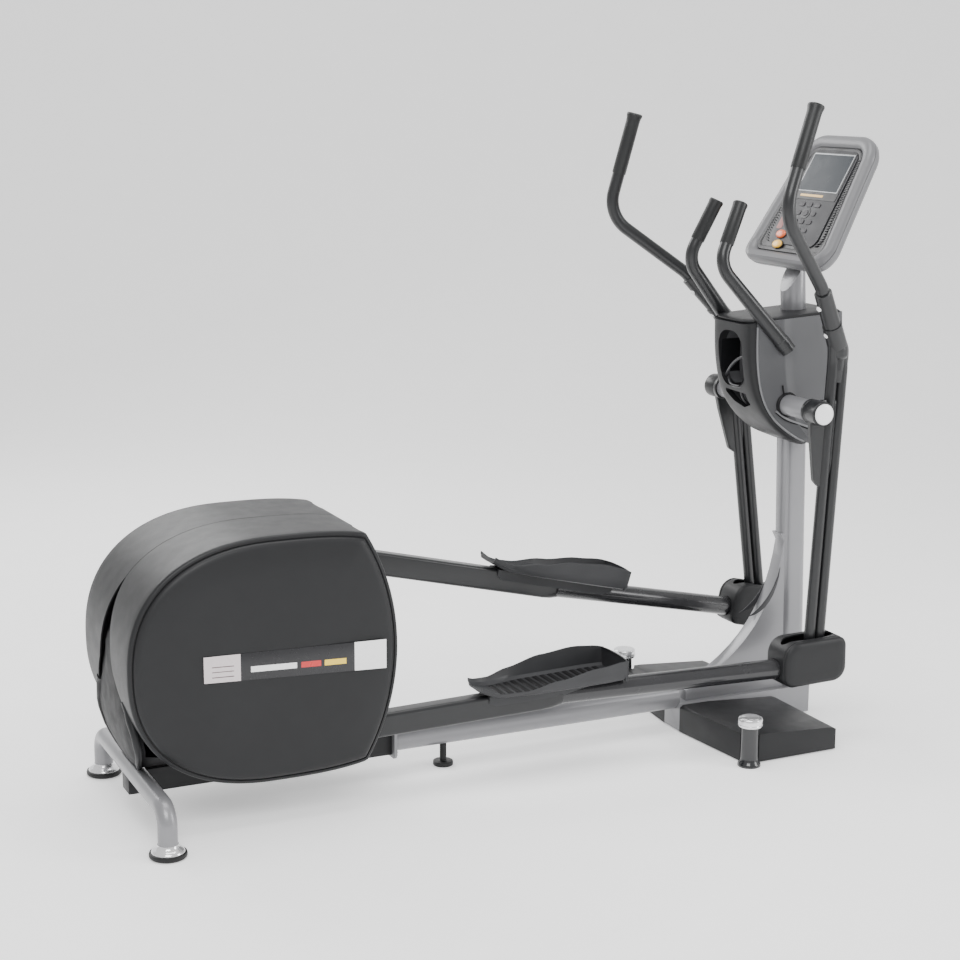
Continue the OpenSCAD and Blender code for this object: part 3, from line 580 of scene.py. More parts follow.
def rim_edge(p):
    """How far the rim starts from the middle plane at a point of the outline."""
    if p.x < -0.6:
        pts = [(0.61, 0.001), (0.40, 0.058), (0.245, 0.172), (0.17, 0.172)]
    else:
        pts = [(0.21, 0.001), (0.20, 0.001), (0.1999, 0.170), (0.1, 0.170)]
    z = p.z
    if z >= pts[0][0]:
        return pts[0][1]
    for (z0, y0), (z1, y1) in zip(pts, pts[1:]):
        if z >= z1:
            return lerp(y1, y0, (z - z1) / (z0 - z1))
    return pts[-1][1]


def housing(s):
    rows = [(0.0, 0.001), (0.0, 0.03), (0.0, 0.06), (0.0, 0.104), (0.0, 0.176), (0.0, 0.196),
            (0.0008, 0.2015), (0.003, 0.2045), (0.0065, 0.2062), (0.0095, 0.2065), (0.0105, 0.2035),
            (0.0125, 0.2035), (0.0135, 0.2085), (0.0165, 0.2128), (0.022, 0.2158), (0.032, 0.2184)]
    rings = []
    for d, y in rows:
        ring = []
        for a in ANGLES:
            p = housing_point(a, d, 0)
            e = rim_edge(p) if y < 0.19 else 0.0
            ring.append(Vector((p.x, s * max(y, e), p.z)))
        rings.append(ring)
    for k, y in ((0.80, 0.2212), (0.6, 0.2236), (0.4, 0.2250), (0.2, 0.2257), (0.05, 0.2259)):
        rings.append([Vector((q.x, s * y, q.z)) for q in (housing_point(a, 0.032, 0, k) for a in ANGLES)])
    n = HOUSING_N
    verts, faces = loft(rings, caps=False)
    faces.append(tuple((len(rings) - 1) * n + k for k in range(n)))
    keep = []
    for f in faces:
        c = sum((verts[i] for i in f), Vector()) / len(f)
        in_slot = 0.104 < abs(c.y) < 0.176 and c.x > -0.345 and c.z < 0.712 and len(f) == 4
        if not in_slot:
            keep.append(f)
    ob = place("housing_shell_" + SIDE[s], verts, keep, "cover_dark", BODY_OF["housing_" + SIDE[s]],
               ["housing_" + SIDE[s]], 32.0)
    modify(ob, "SOLIDIFY", thickness=0.0035, offset=-1.0, use_even_offset=True)
    return bake(ob, 32.0)


for s in (-1, 1):
    housing(s)


# ---------------------------------------------------------------- black spine filling the gap at the rear of the housing; its near-black also paints the shade in that gap
SPINE = [(0.60, -0.842, 0.012), (0.52, -0.876, 0.030), (0.44, -0.893, 0.052), (0.36, -0.893, 0.092),
         (0.30, -0.889, 0.134), (0.25, -0.884, 0.163), (0.21, -0.877, 0.158), (0.175, -0.868, 0.118),
         (0.150, -0.858, 0.082), (0.139, -0.850, 0.060)]


def spine_row(i, n=24):
    q = 1 - i / n
    z = lerp(0.139, 0.60, q)
    keys = [(p[0], p[1]) for p in reversed(SPINE)]
    wide = [(p[0], p[2]) for p in reversed(SPINE)]
    return z, curve1(z, keys), curve1(z, wide)


rings = []
for i in range(25):
    z, x, w = spine_row(i)
    r = min(0.012, w * 0.5)
    front = lerp(-0.70, x + 0.020, min(1, max(0, (z - 0.165) / 0.02)))
    half = [(front, w), (x + r * 2, w), (x + r, w - r * 0.15), (x + r * 0.3, w - r * 0.6),
            (x, w - r * 1.3), (x - 0.002, w * 0.4)]
    rings.append([(px, -py, z) for px, py in half] + [(px, py, z) for px, py in reversed(half)])
skin("housing_spine", rings, "liner_black", "frame", smooth=45.0)
for s in (-1, 1):
    path, radii = [], []
    for i in range(14, 25):
        z, x, w = spine_row(i)
        path.append(Vector((x + 0.006, s * (w + 0.003), z)))
        radii.append(lerp(0.013, 0.0065, (i - 14) / 10))
    skin("spine_edge_" + SIDE[s], sweep_rings(path, radii, 20), "cover_dark", "frame", smooth=45.0)


# ---------------------------------------------------------------- CAD shapes with softened edges
def softened(node, width, segments=3, angle=28.0, slot=None):
    """A copy of a CAD node with rounded edges, standing for it."""
    src = frame["nodes"][node]
    me = src.data.copy()
    me.name = node + "_soft"
    bm = bmesh.new()
    bm.from_mesh(me)
    bmesh.ops.remove_doubles(bm, verts=bm.verts, dist=0.00003)
    bmesh.ops.dissolve_limit(bm, angle_limit=math.radians(0.6), verts=bm.verts, edges=bm.edges)
    bmesh.ops.recalc_face_normals(bm, faces=bm.faces)
    bm.to_mesh(me)
    bm.free()
    ob = settle(node + "_soft", me, slot or SLOT_OF[node], BODY_OF[node], [node], 35.0)
    modify(ob, "BEVEL", width=width, segments=segments, limit_method="ANGLE",
           angle_limit=math.radians(angle), use_clamp_overlap=True)
    return bake(ob, 50.0)


SOFT = {
    "rear_rail": 0.004, "front_beam": 0.005, "base_cover_right": 0.007, "base_cover_left": 0.007,
    "mast": 0.003, "mast_inlays": 0.0008, "drive_frame": 0.0015, "brake": 0.003,
    "crank_arms": 0.003, "crank_pins": 0.001, "crank_axle": 0.001,
    "flywheel": 0.002, "flywheel_shaft": 0.001, "idler_pulley": 0.001, "drive_pulley": 0.001,
    "link_pin_right": 0.001, "link_pin_left": 0.001, "mid_foot": 0.002,
}
for name, w in SOFT.items():
    soft = softened(name, w, slot="cover_dark" if name == "rear_rail" else None)
    if name == "mast_inlays":
        # drawn in from the mast's curved edge
        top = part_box(name)[1]
        for vert in soft.data.vertices:
            vert.co.x = top.x - (top.x - vert.co.x) * 0.62
            vert.co.z = top.z - (top.z - vert.co.z) * 0.78

# ---------------------------------------------------------------- frame tubes and feet
box_lo, box_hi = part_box("main_rail")
RAIL_Z = (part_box("mid_foot")[1].z - 0.004) + 0.036
joint_x = box_lo.x + 0.010
rail = [(joint_x - 0.004, 0, RAIL_Z), (box_hi.x, 0, RAIL_Z)]
tube("centre_rail", rail, 0.036, "frame_silver", "frame", ["main_rail"])
# bolted flange where the round rail meets the drive base
skin("rail_flange", [[Vector((x, y, RAIL_Z - 0.001 + z)) for y, z in rounded_rect(w, w, 0.012)]
      for x, w in ((box_lo.x, 0.086), (box_lo.x + 0.0015, 0.09), (box_lo.x + 0.0085, 0.09),
                   (box_lo.x + 0.010, 0.086))],
     "frame_silver", "frame")
for y in (-0.033, 0.033):
    for z in (-0.033, 0.033):
        lathe("flange_bolt_%d_%d" % (y > 0, z > 0), (joint_x - 0.001, y, RAIL_Z - 0.001 + z), (1, 0, 0),
              [(0, 0.0), (0, 0.0072), (0.0045, 0.0072), (0.006, 0.006), (0.006, 0.0)], "bright_metal",
              "frame", sides=6)

st_lo, st_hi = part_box("rear_stabiliser")
SX, SR = (st_lo.x + st_hi.x) / 2, 0.024
SY, SZ, LEG = st_hi.y - SR - 0.0004, st_hi.z - SR - 0.0004, st_lo.z
tube("rear_leg_tube", [(SX, -SY, LEG - 0.004), (SX, -SY, SZ), (SX, SY, SZ), (SX, SY, LEG - 0.004)], SR,
     "frame_silver", "frame", ["rear_stabiliser"], bend=0.078, sides=48)
first = True
for s in (-1, 1):
    o = (SX, s * SY, 0)
    lathe("rear_foot_" + SIDE[s], o, (0, 0, 1),
          [(0, 0.0), (0, 0.040), (0.001, 0.0425), (0.004, 0.0455), (0.009, 0.046), (0.013, 0.0445),
           (0.0146, 0.041), (0.0146, 0.0)], "foot_rubber", "frame", ["rear_feet"] if first else ())
    lathe("foot_dome_" + SIDE[s], o, (0, 0, 1),
          [(0.0135, 0.0), (0.0135, 0.0405), (0.015, 0.0405), (0.0185, 0.0385), (0.022, 0.034),
           (0.026, 0.0285), (0.0295, 0.0262), (0.033, 0.0252), (0.033, 0.0)], "bright_metal", "frame",
          ["foot_collars"] if first else ())
    first = False

cp_lo, cp_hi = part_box("leveller_caps")
LX, LY = (cp_lo.x + cp_hi.x) / 2, cp_hi.y - (cp_hi.x - cp_lo.x) / 2
for s in (-1, 1):
    o = (LX, s * LY, 0)
    lathe("leveller_post_" + SIDE[s], o, (0, 0, 1),
          [(0, 0.0), (0, 0.0295), (0.001, 0.031), (0.006, 0.031), (0.010, 0.0285), (0.016, 0.0245),
           (0.022, 0.0231), (0.100, 0.0229), (0.1125, 0.0229), (0.1125, 0.0)], "leveller_black", "frame",
          ["levellers"] if s < 0 else ())
    lathe("leveller_cap_" + SIDE[s], o, (0, 0, 1),
          [(0.110, 0.0), (0.110, 0.029), (0.111, 0.0312), (0.113, 0.0322), (0.1165, 0.0325),
           (0.1175, 0.0317), (0.1185, 0.0325), (0.129, 0.0325), (0.1325, 0.0312), (0.135, 0.0275),
           (0.136, 0.022), (0.1363, 0.010), (0.1363, 0.0)], "bright_metal", "frame",
          ["leveller_caps"] if s < 0 else ())

# ---------------------------------------------------------------- pivot axle
lathe("pivot_tube", (AXLE.x, 0, AXLE.z), (0, 1, 0),
      [(-0.2705, 0.0), (-0.2705, 0.0158), (-0.2102, 0.0158), (-0.2102, 0.0272), (-0.2088, 0.028),
       (0.2088, 0.028), (0.2102, 0.0272), (0.2102, 0.0158), (0.2705, 0.0158), (0.2705, 0.0)],
      "frame_silver", "frame", ["pivot_axle"])
for s in (-1, 1):
    # the caps are near-white, a painted highlight on their faces
    lathe("axle_cap_" + SIDE[s], (AXLE.x, s * 0.2704, AXLE.z), (0, s, 0),
          [(0, 0.0), (0, 0.0262), (0.0006, 0.0276), (0.002, 0.0282), (0.0045, 0.0279), (0.0062, 0.0262),
           (0.0075, 0.021), (0.0083, 0.012), (0.0085, 0.0)], "bright_metal", "frame",
          ["axle_caps"] if s < 0 else (), mat=CAP_HIGHLIGHT_WHITE)

# ---------------------------------------------------------------- swing arms and handlebars
BEND2 = Vector((0.064, 0.234, 0.163))
SLEEVE = Vector((-0.030, 0.281, 0.324))
BEND1 = Vector((-0.219, 0.366, 0.537))
TOP = Vector((-0.114, 0.328, 0.799))
FOOT = Vector((0.030, 0.234, -0.700))
TWIN = 0.0155


def swing_arm(s):
    body = "swing_" + SIDE[s]
    sw = lambda p: swing_point(s, p)
    up = (BEND2 - FOOT).normalized()
    across = Vector((up.z, 0, -up.x))
    along = (SLEEVE - BEND2).normalized()
    for k, q in enumerate((-1, 1)):
        path = fillet([FOOT + across * q * TWIN, BEND2 - up * 0.03 + across * q * TWIN,
                       BEND2 + along * 0.05 + across * q * 0.003], 0.09, 5.0)
        skin("lower_tube_%s_%d" % (SIDE[s], k), sweep_rings([sw(p) for p in path], [0.0150] * len(path), 36),
             "arm_paint", body, ["swing_arm_" + SIDE[s]] if k == 0 else ())
    # sleeve that gathers the two tubes and clamps the handlebar
    path = fillet([BEND2 - up * 0.052, BEND2, SLEEVE], 0.07, 4.0)
    total = len(path) - 1
    radii = [curve1(i / total, [(0, 0.0165), (0.3, 0.0262), (0.6, 0.0262), (1.0, 0.0232)])
             for i in range(total + 1)]
    path.append(path[-1] + along * 0.0012)
    radii.append(0.0205)
    skin("sleeve_" + SIDE[s], sweep_rings([sw(p) for p in path], radii, 44), "arm_paint", body)
    # shoulder where the twin tubes run into the sleeve
    run_ = fillet([BEND2 - up * 0.085, BEND2, BEND2 + along * 0.085], 0.07, 4.0)
    rings = []
    for i, p in enumerate(run_):
        t = i / (len(run_) - 1)
        tan = (run_[min(i + 1, len(run_) - 1)] - run_[max(i - 1, 0)]).normalized()
        a_dir = Vector((tan.z, 0, -tan.x)).normalized()
        b_dir = tan.cross(a_dir)
        wa = curve1(t, [(0, 0.0285), (0.08, 0.0315), (0.5, 0.0305), (1.0, 0.0262)])
        wb = curve1(t, [(0, 0.0128), (0.08, 0.0160), (0.5, 0.0225), (1.0, 0.0260)])
        rings.append([sw(p + a_dir * wa * math.cos(q) + b_dir * wb * math.sin(q))
                      for q in (2 * math.pi * k / 44 for k in range(44))])
    skin("shoulder_" + SIDE[s], rings, "arm_paint", body)
    # pivot hub
    c = sw((0, 0.211, 0))
    lathe("pivot_hub_" + SIDE[s], c, (0, s, 0),
          [(0, 0.0162), (0, 0.0312), (0.0015, 0.033), (0.010, 0.033), (0.0112, 0.0322), (0.0124, 0.033),
           (0.0565, 0.033), (0.0588, 0.0312), (0.0590, 0.0162)], "arm_paint", body,
          ["hub_bush_" + SIDE[s]], wrap=True)
    # link hub
    c = sw((0.030, 0.214, -0.700))
    lathe("link_hub_" + SIDE[s], c, (0, s, 0),
          [(0, 0.0122), (0, 0.0262), (0.0015, 0.028), (0.0385, 0.028), (0.040, 0.0262), (0.040, 0.0122)],
          "arm_paint", body, wrap=True)
    # paddle plate from the hub down to the tubes
    edge = fillet([(-0.022, 0, 0.014), (-0.017, 0, -0.060), (0.000, 0, -0.186), (0.020, 0, -0.206),
                   (0.046, 0, -0.200), (0.078, 0, -0.02), (0.066, 0, 0.03), (0.02, 0, 0.032),
                   (-0.02, 0, 0.016)], 0.016, 12.0)[:-1]
    rings = []
    cx, cz = 0.03, -0.08
    for y, k in ((0.2272, 0.0), (0.2270, 0.9), (0.2272, 0.97), (0.2285, 1.0), (0.2395, 1.0),
                 (0.2408, 0.97), (0.2410, 0.9), (0.2408, 0.0)):
        kk = max(k, 0.02)
        rings.append([sw((cx + (p[0] - cx) * kk, y, cz + (p[2] - cz) * kk)) for p in edge])
    skin("paddle_" + SIDE[s], rings, "arm_paint", body)
    # handlebar and grip
    bar = fillet([BEND2 + along * 0.075, SLEEVE + along * 0.018, BEND1, TOP], 0.10, 4.0)
    tube_pts = [sw(p) for p in bar[:-1]] + [sw(BEND1.lerp(TOP, 0.45))]
    skin("upper_bar_" + SIDE[s], sweep_rings(tube_pts, [0.0175] * len(tube_pts), 40),
         "arm_paint", body, ["handlebar_" + SIDE[s]])
    up2 = (TOP - BEND1).normalized()
    a, length = BEND1.lerp(TOP, 0.42), (TOP - BEND1).length * 0.58
    prof = [(0, 0.0176), (0, 0.0187), (0.0015, 0.0194), (length - 0.020, 0.0194),
            (length - 0.010, 0.0198), (length - 0.002, 0.0218), (length + 0.002, 0.0222),
            (length + 0.0045, 0.0212), (length + 0.006, 0.018), (length + 0.0062, 0.0)]
    o = sw(a)
    lathe("hand_grip_" + SIDE[s], o, sw(a + up2) - o, prof, "grip_rubber", body, ["grip_" + SIDE[s]])
    # clamp bolts on the sleeve
    for k, t in enumerate((0.34, 0.80)):
        c = BEND2.lerp(SLEEVE, t)
        side = Vector((-1, 0, -0.3))
        side = (side - along * side.dot(along)).normalized()
        o = sw(c + side * 0.020)
        lathe("clamp_bolt_%s_%d" % (SIDE[s], k), o, sw(c + side) - sw(c),
              [(0, 0.0), (0, 0.0072), (0.0056, 0.0072), (0.0072, 0.0062), (0.0078, 0.0045),
               (0.0064, 0.004), (0.0064, 0.0)], "bright_metal", body,
              ["arm_bolts_" + SIDE[s]] if k == 0 else (), mat=CAP_HIGHLIGHT_WHITE)


# ---------------------------------------------------------------- pedal arms, foot trays, boots
def pedal_arm(s):
    body = "pedal_unit_" + SIDE[s]
    ap = lambda p: arm_point(s, p)
    # square tube, with a sloped shoulder where the round tube leaves it
    rings = []
    for x, w, h, r in ((-1.655, 0.046, 0.058, 0.010), (-1.653, 0.048, 0.062, 0.009),
                       (-0.792, 0.048, 0.062, 0.009), (-0.765, 0.052, 0.0615, 0.016),
                       (-0.742, 0.054, 0.057, 0.024), (-0.736, 0.052, 0.054, 0.025)):
        dy = 0.0 if x < -0.78 else (x + 0.78) * 0.14
        rings.append([ap((x, 0.140 + dy + y, z)) for y, z in rounded_rect(w, h, r, 8)])
    skin("square_arm_" + SIDE[s], rings, "arm_paint", body, ["pedal_arm_" + SIDE[s]])
    a, b = Vector((-0.755, 0.140, 0)), Vector((-0.068, 0.234, 0))
    # the round tube takes the lighter copy of the arm paint, a painted sheen
    skin("round_arm_" + SIDE[s], sweep_rings([ap(a), ap(a.lerp(b, 0.5)), ap(b)], [0.027] * 3, 44),
         "arm_paint", body, mat=ARM_PAINTED_SHEEN)
    # rear bearing
    lathe("rear_bearing_" + SIDE[s], ap((-1.664, 0.113, 0)), (0, s, 0),
          [(0, 0.0132), (0, 0.0285), (0.0015, 0.031), (0.0525, 0.031), (0.054, 0.0285), (0.054, 0.0132)],
          "arm_paint", body, wrap=True)
    # fork on the link pin
    for k, y in enumerate((0.202, 0.266)):
        outline = [(0.024 * math.cos(t), 0.024 * math.sin(t)) for t in
                   (math.radians(-90 + 10 * i) for i in range(19))] + [(-0.092, 0.022), (-0.092, -0.022)]
        skin("fork_%s_%d" % (SIDE[s], k), [[ap((x * q, yy, z * q)) for x, z in outline] for yy, q in
              ((y - 0.0038, 0.97), (y - 0.003, 1.0), (y + 0.003, 1.0), (y + 0.0038, 0.97))],
             "arm_paint", body)


TRAY_X0, TRAY_L = -0.975, 0.415


def tray_half_width(t):
    return curve1(t, [(0, 0.046), (0.12, 0.062), (0.4, 0.077), (0.85, 0.080), (0.96, 0.076), (1, 0.070)])


def foot_tray(s):
    body = "pedal_unit_" + SIDE[s]
    ap = lambda p: arm_point(s, p)
    floor_z = 0.031
    n = 26
    outer_wall = [(0, 0.016), (0.1, 0.012), (0.25, 0.012), (0.5, 0.030), (0.78, 0.047), (0.95, 0.053),
                  (1.0, 0.052)]
    inner_wall = [(0, 0.018), (0.12, 0.022), (0.3, 0.036), (0.55, 0.056), (0.78, 0.063), (0.93, 0.058),
                  (1.0, 0.052)]
    rings = []
    for i in range(n + 1):
        t = i / n
        x = TRAY_X0 + TRAY_L * t
        hw = tray_half_width(t)
        lift = 0.016 * max(0, 1 - t / 0.16) ** 2
        ho, hi_ = curve1(t, outer_wall), curve1(t, inner_wall)
        z0 = floor_z + lift
        ring = []
        # outside of the tray, inner wall to outer wall, then back along its inside
        lip = 0.0035
        flare = 0.004
        prof_out = [(-hw - flare, z0 + hi_), (-hw - flare * 0.4, z0 + hi_ * 0.5), (-hw, z0 + 0.010),
                    (-hw + 0.003, z0 + 0.003), (-hw + 0.009, z0), (0, z0), (hw - 0.009, z0),
                    (hw - 0.003, z0 + 0.003), (hw, z0 + 0.010), (hw + flare * 0.4, z0 + ho * 0.5),
                    (hw + flare, z0 + ho)]
        prof_in = [(hw + flare - lip * 0.5, z0 + ho + 0.0015), (hw + flare - lip, z0 + ho),
                   (hw - lip, z0 + ho * 0.5 + 0.002), (hw - 0.006, z0 + 0.012), (hw - 0.014, z0 + 0.0052),
                   (0, z0 + 0.005), (-hw + 0.014, z0 + 0.0052), (-hw + 0.006, z0 + 0.012),
                   (-hw + lip, z0 + hi_ * 0.5 + 0.002), (-hw - flare + lip, z0 + hi_),
                   (-hw - flare + lip * 0.5, z0 + hi_ + 0.0015)]
        for y, z in prof_out + prof_in:
            ring.append(ap((x, 0.140 + y * 0.95, z)))
        rings.append(ring)
    skin("tray_" + SIDE[s], rings, "pedal_plastic", body, ["pedal_" + SIDE[s]], 30.0)
    # front wall, bowed and rounded at its top
    hw = 0.0745 * 0.95
    rings = []
    for k, (dz, dx, sh) in enumerate(((0.001, 0, 0.0), (0.02, 0.002, 0), (0.045, 0.0035, 0.0),
                                      (0.054, 0.0035, 0.001), (0.0565, 0.002, 0.002))):
        row = []
        for j in range(17):
            q = -1 + 2 * j / 16
            bow = 0.0025 * (1 - q * q)
            row.append(ap((TRAY_X0 + TRAY_L - 0.006 + dx + bow, 0.140 + q * (hw - sh),
                           floor_z + dz - 0.003 * abs(q) ** 3)))
        for j in range(16, -1, -1):
            q = -1 + 2 * j / 16
            bow = 0.0025 * (1 - q * q)
            row.append(ap((TRAY_X0 + TRAY_L - 0.0105 + dx + bow, 0.140 + q * (hw - sh - 0.001),
                           floor_z + dz - 0.003 * abs(q) ** 3)))
        rings.append(row)
    skin("tray_front_" + SIDE[s], rings, "pedal_plastic", body)
    # ribbed tread on the tray floor
    verts, faces = [], []
    for k in range(15):
        x0 = TRAY_X0 + 0.055 + k * 0.0225
        t = (x0 - TRAY_X0) / TRAY_L
        hw = (tray_half_width(t) - 0.018) * 0.95
        base = len(verts)
        for xx, zz in ((0, 0.0045), (0.0035, 0.0078), (0.0125, 0.0078), (0.016, 0.0045)):
            for y in (-hw, -hw + 0.003, hw - 0.003, hw):
                drop = 0.0 if abs(y) < hw - 0.001 else 0.003
                verts.append(ap((x0 + xx, 0.140 + y, floor_z + max(zz - drop, 0.0045))))
        for r in range(3):
            for c in range(3):
                a = base + r * 4 + c
                faces.append((a, a + 1, a + 5, a + 4))
        faces.append(tuple(base + i for i in (0, 1, 2, 3)) )
        faces.append(tuple(base + i for i in (12, 13, 14, 15)))
        faces.append((base, base + 4, base + 8, base + 12))
        faces.append((base + 3, base + 7, base + 11, base + 15))
        faces.append((base, base + 3, base + 15, base + 12))
    place("tread_" + SIDE[s], verts, faces, "pedal_plastic", body, smooth=30.0, mat=TREAD)
    # mounting saddle between the tray and the arm
    rings = []
    for x, w, z0 in ((-0.948, 0.050, 0.012), (-0.93, 0.058, 0.004), (-0.62, 0.062, 0.002),
                     (-0.585, 0.055, 0.012)):
        rings.append([ap((x, 0.140 + y, z)) for y, z in
                      ((-w / 2, z0), (-w / 2 - 0.004, 0.024), (-w / 2 - 0.004, 0.0315),
                       (w / 2 + 0.004, 0.0315), (w / 2 + 0.004, 0.024), (w / 2, z0))])
    skin("tray_saddle_" + SIDE[s], rings, "pedal_plastic", body)


BOOT = dict(x0=-0.115, x1=0.082, z0=-0.045, z1=0.080, y0=0.184, y1=0.284)


def boot_outline(d):
    x0, x1, z0, z1 = BOOT["x0"] + d, BOOT["x1"] - d, BOOT["z0"] + d, BOOT["z1"] - d
    out = []
    for cx, cz, r, a0 in ((x1, z1, 0.026, 0), (x0, z1, 0.046, 90), (x0, z0, 0.028, 180),
                          (x1, z0, 0.040, 270)):
        r = max(r - d * 0.6, 0.004)
        mx, mz = (cx - r if cx > 0 else cx + r), (cz - r if cz > 0 else cz + r)
        for i in range(10):
            a = math.radians(a0 + 90 * i / 9)
            out.append((mx + r * math.cos(a), mz + r * math.sin(a)))
    return out


def boot(s):
    body = "pedal_unit_" + SIDE[s]
    ap = lambda p: arm_point(s, p)
    rows = [(0.030, 0.1845), (0.012, 0.1842), (0.004, 0.186), (0.0008, 0.190), (0.0, 0.196),
            (0.0, 0.262), (0.0006, 0.2655), (0.0024, 0.2672), (0.0028, 0.2690), (0.0008, 0.2706),
            (0.0006, 0.2745), (0.003, 0.2792), (0.008, 0.2822), (0.016, 0.2838), (0.030, 0.2842)]
    ob = skin("boot_cover_" + SIDE[s], [[ap((x, y, z)) for x, z in boot_outline(d)] for d, y in rows],
              "cover_dark", body, ["boot_" + SIDE[s]], 30.0)
    # hollow inside, with the oval mouth for the swing arm and the hole for the pedal arm
    rows = [(0.006, 0.190), (0.0045, 0.193), (0.0045, 0.275), (0.008, 0.279)]
    v, f = loft([[ap((x, y, z)) for x, z in boot_outline(d)] for d, y in rows])
    cut(ob, v, f)
    mouth_x, mouth_y, half_x, half_y = -0.017, 0.234, 0.083, 0.0265
    mouth = [(mouth_x + half_x * spow(math.cos(t), 0.8), mouth_y + half_y * spow(math.sin(t), 0.9))
             for t in (2 * math.pi * k / 40 for k in range(40))]
    v, f = loft([[ap((x, y, z)) for x, y in mouth] for z in (0.02, 0.12)])
    cut(ob, v, f)
    a, b = Vector((-0.755, 0.140, 0)), Vector((-0.068, 0.234, 0))
    d = (b - a).normalized()
    v, f = loft(sweep_rings([ap(b - d * 0.16), ap(b - d * 0.02)], [0.0285, 0.0285], 44))
    cut(ob, v, f)


for s in (-1, 1):
    swing_arm(s)
    pedal_arm(s)
    foot_tray(s)
    boot(s)

# ---------------------------------------------------------------- fixed handlebar
FIX = [Vector((0.954, 0.114, 1.089)), Vector((0.764, 0.080, 1.308)), Vector((0.837, 0.059, 1.464))]
for s in (-1, 1):
    p = [Vector((q.x, s * q.y, q.z)) for q in FIX]
    start = p[0] + (p[0] - p[1]).normalized() * 0.022
    path = fillet([start, p[1], p[2]], 0.07, 4.0)
    path = path[:-1] + [p[1].lerp(p[2], 0.5)]
    grow = [curve1((q.z - 1.05) / 0.30, [(0, 0.0212), (0.5, 0.0192), (1, 0.0172)]) for q in path]
    skin("front_bar_" + SIDE[s], sweep_rings(path, grow, 40),
         "arm_paint", "frame", ["fixed_handlebar"] if s < 0 else ())
    u = (p[2] - p[1]).normalized()
    a = p[1].lerp(p[2], 0.34)
    length = (p[2] - a).length
    lathe("front_grip_" + SIDE[s], a, u,
          [(0, 0.0166), (0, 0.0182), (0.0012, 0.0190), (length - 0.010, 0.0190), (length - 0.003, 0.0200),
           (length + 0.001, 0.0200), (length + 0.004, 0.0176), (length + 0.005, 0.0)],
          "grip_rubber", "frame", ["fixed_grips"] if s < 0 else ())
    # flanged collar where the bar enters the shroud
    d = (p[0] - p[1]).normalized()
    lathe("bar_collar_" + SIDE[s], p[0] - d * 0.018, d,
          [(0, 0.0190), (0.002, 0.0216), (0.014, 0.0222), (0.024, 0.0216), (0.026, 0.0190)],
          "arm_paint", "frame", wrap=True)


# ---------------------------------------------------------------- pivot shroud
def spline(points, n):
    """n + 1 points of a smooth curve through the points, evenly by index."""
    pts = [Vector(p) for p in points]
    pts = [pts[0] * 2 - pts[1]] + pts + [pts[-1] * 2 - pts[-2]]
    out = []
    for i in range(n + 1):
        u = i / n * (len(pts) - 3)
        k = min(int(u), len(pts) - 4)
        t = u - k
        a, b, c, d = pts[k:k + 4]
        out.append(0.5 * ((2 * b) + (c - a) * t + (2 * a - 5 * b + 4 * c - d) * t * t
                          + (3 * b - a - 3 * c + d) * t ** 3))
    return out


LEVELS = 40
SEAM = spline([(p[0] * MM, p[1] * MM) for p in
               ((1060, 806), (1000, 836), (940, 885), (902, 950), (884, 1040), (880, 1150))], LEVELS)
FRONT = spline([(p[0] * MM, p[1] * MM) for p in
                ((1112, 800), (1152, 880), (1166, 1040), (1160, 1166))], LEVELS)
BACK = spline([(p[0] * MM, p[1] * MM) for p in
               ((1046, 800), (980, 830), (924, 880), (882, 948), (860, 1040), (854, 1142))], LEVELS)


def shroud_rings(a, b, half, squeeze):
    rings = []
    for i in range(LEVELS + 1):
        k = curve1(i / LEVELS, squeeze)
        row = [(t, y * k) for t, y in half] + [(t, -y * k) for t, y in reversed(half)]
        rings.append([(a[i].lerp(b[i], t).x, y, a[i].lerp(b[i], t).y) for t, y in row])
    return rings


# the shroud narrows a little over its lowest part
SHROUD_FOOT = [(0, 0.90), (0.05, 0.96), (0.12, 1.0), (1, 1.0)]
side_half = [(0.0, 0.050), (0.0, 0.0925), (0.010, 0.0953), (0.04, 0.0972), (0.16, 0.1010), (0.27, 0.1042),
             (0.285, 0.1048), (0.30, 0.1042), (0.33, 0.1022), (0.40, 0.1018), (0.62, 0.1036),
             (0.84, 0.1034), (0.93, 0.1010), (0.975, 0.0955), (0.995, 0.087), (1.0, 0.075), (1.0, 0.03)]
side_ob = skin("shroud_sides", shroud_rings(SEAM, FRONT, side_half, SHROUD_FOOT),
               "shroud_grey", "frame", ["shroud"], 24.0)

rear_half = [(0.0, 0.050), (0.0, 0.0915), (0.06, 0.0950), (0.25, 0.0952), (0.5, 0.0935), (0.72, 0.0880),
             (0.87, 0.0785), (0.96, 0.064), (1.0, 0.045), (1.0, 0.022)]
rear_ob = skin("shroud_rear", shroud_rings(SEAM, BACK, rear_half, SHROUD_FOOT),
               "cover_dark", "frame", ["shroud_back"], 30.0)


def slot_outline(hw, z0, z1, r):
    """A tall rounded slot in the Y-Z plane."""
    out = []
    for a in range(0, 360, 10):
        q = math.radians(a)
        cy = (hw - r) * (1 if math.cos(q) > 0 else -1)
        cz = z1 - r if math.sin(q) > 0 else z0 + r
        out.append((cy + r * math.cos(q), cz + r * math.sin(q)))
    return out


opening = slot_outline(0.0585, 0.965, 1.119, 0.047)
v, f = loft([[(x, y, z) for y, z in opening] for x in (0.80, 0.9285)])
cut(rear_ob, v, f)
cut(side_ob, v, f, 24.0)
recess = [(-0.046, 0.948), (0.050, 0.952), (0.054, 0.942), (0.030, 0.917), (-0.008, 0.904), (-0.050, 0.917)]
v, f = loft([[(x, y, z) for y, z in recess] for x in (0.83, 0.925)])
cut(rear_ob, v, f)
cut(side_ob, v, f, 24.0)

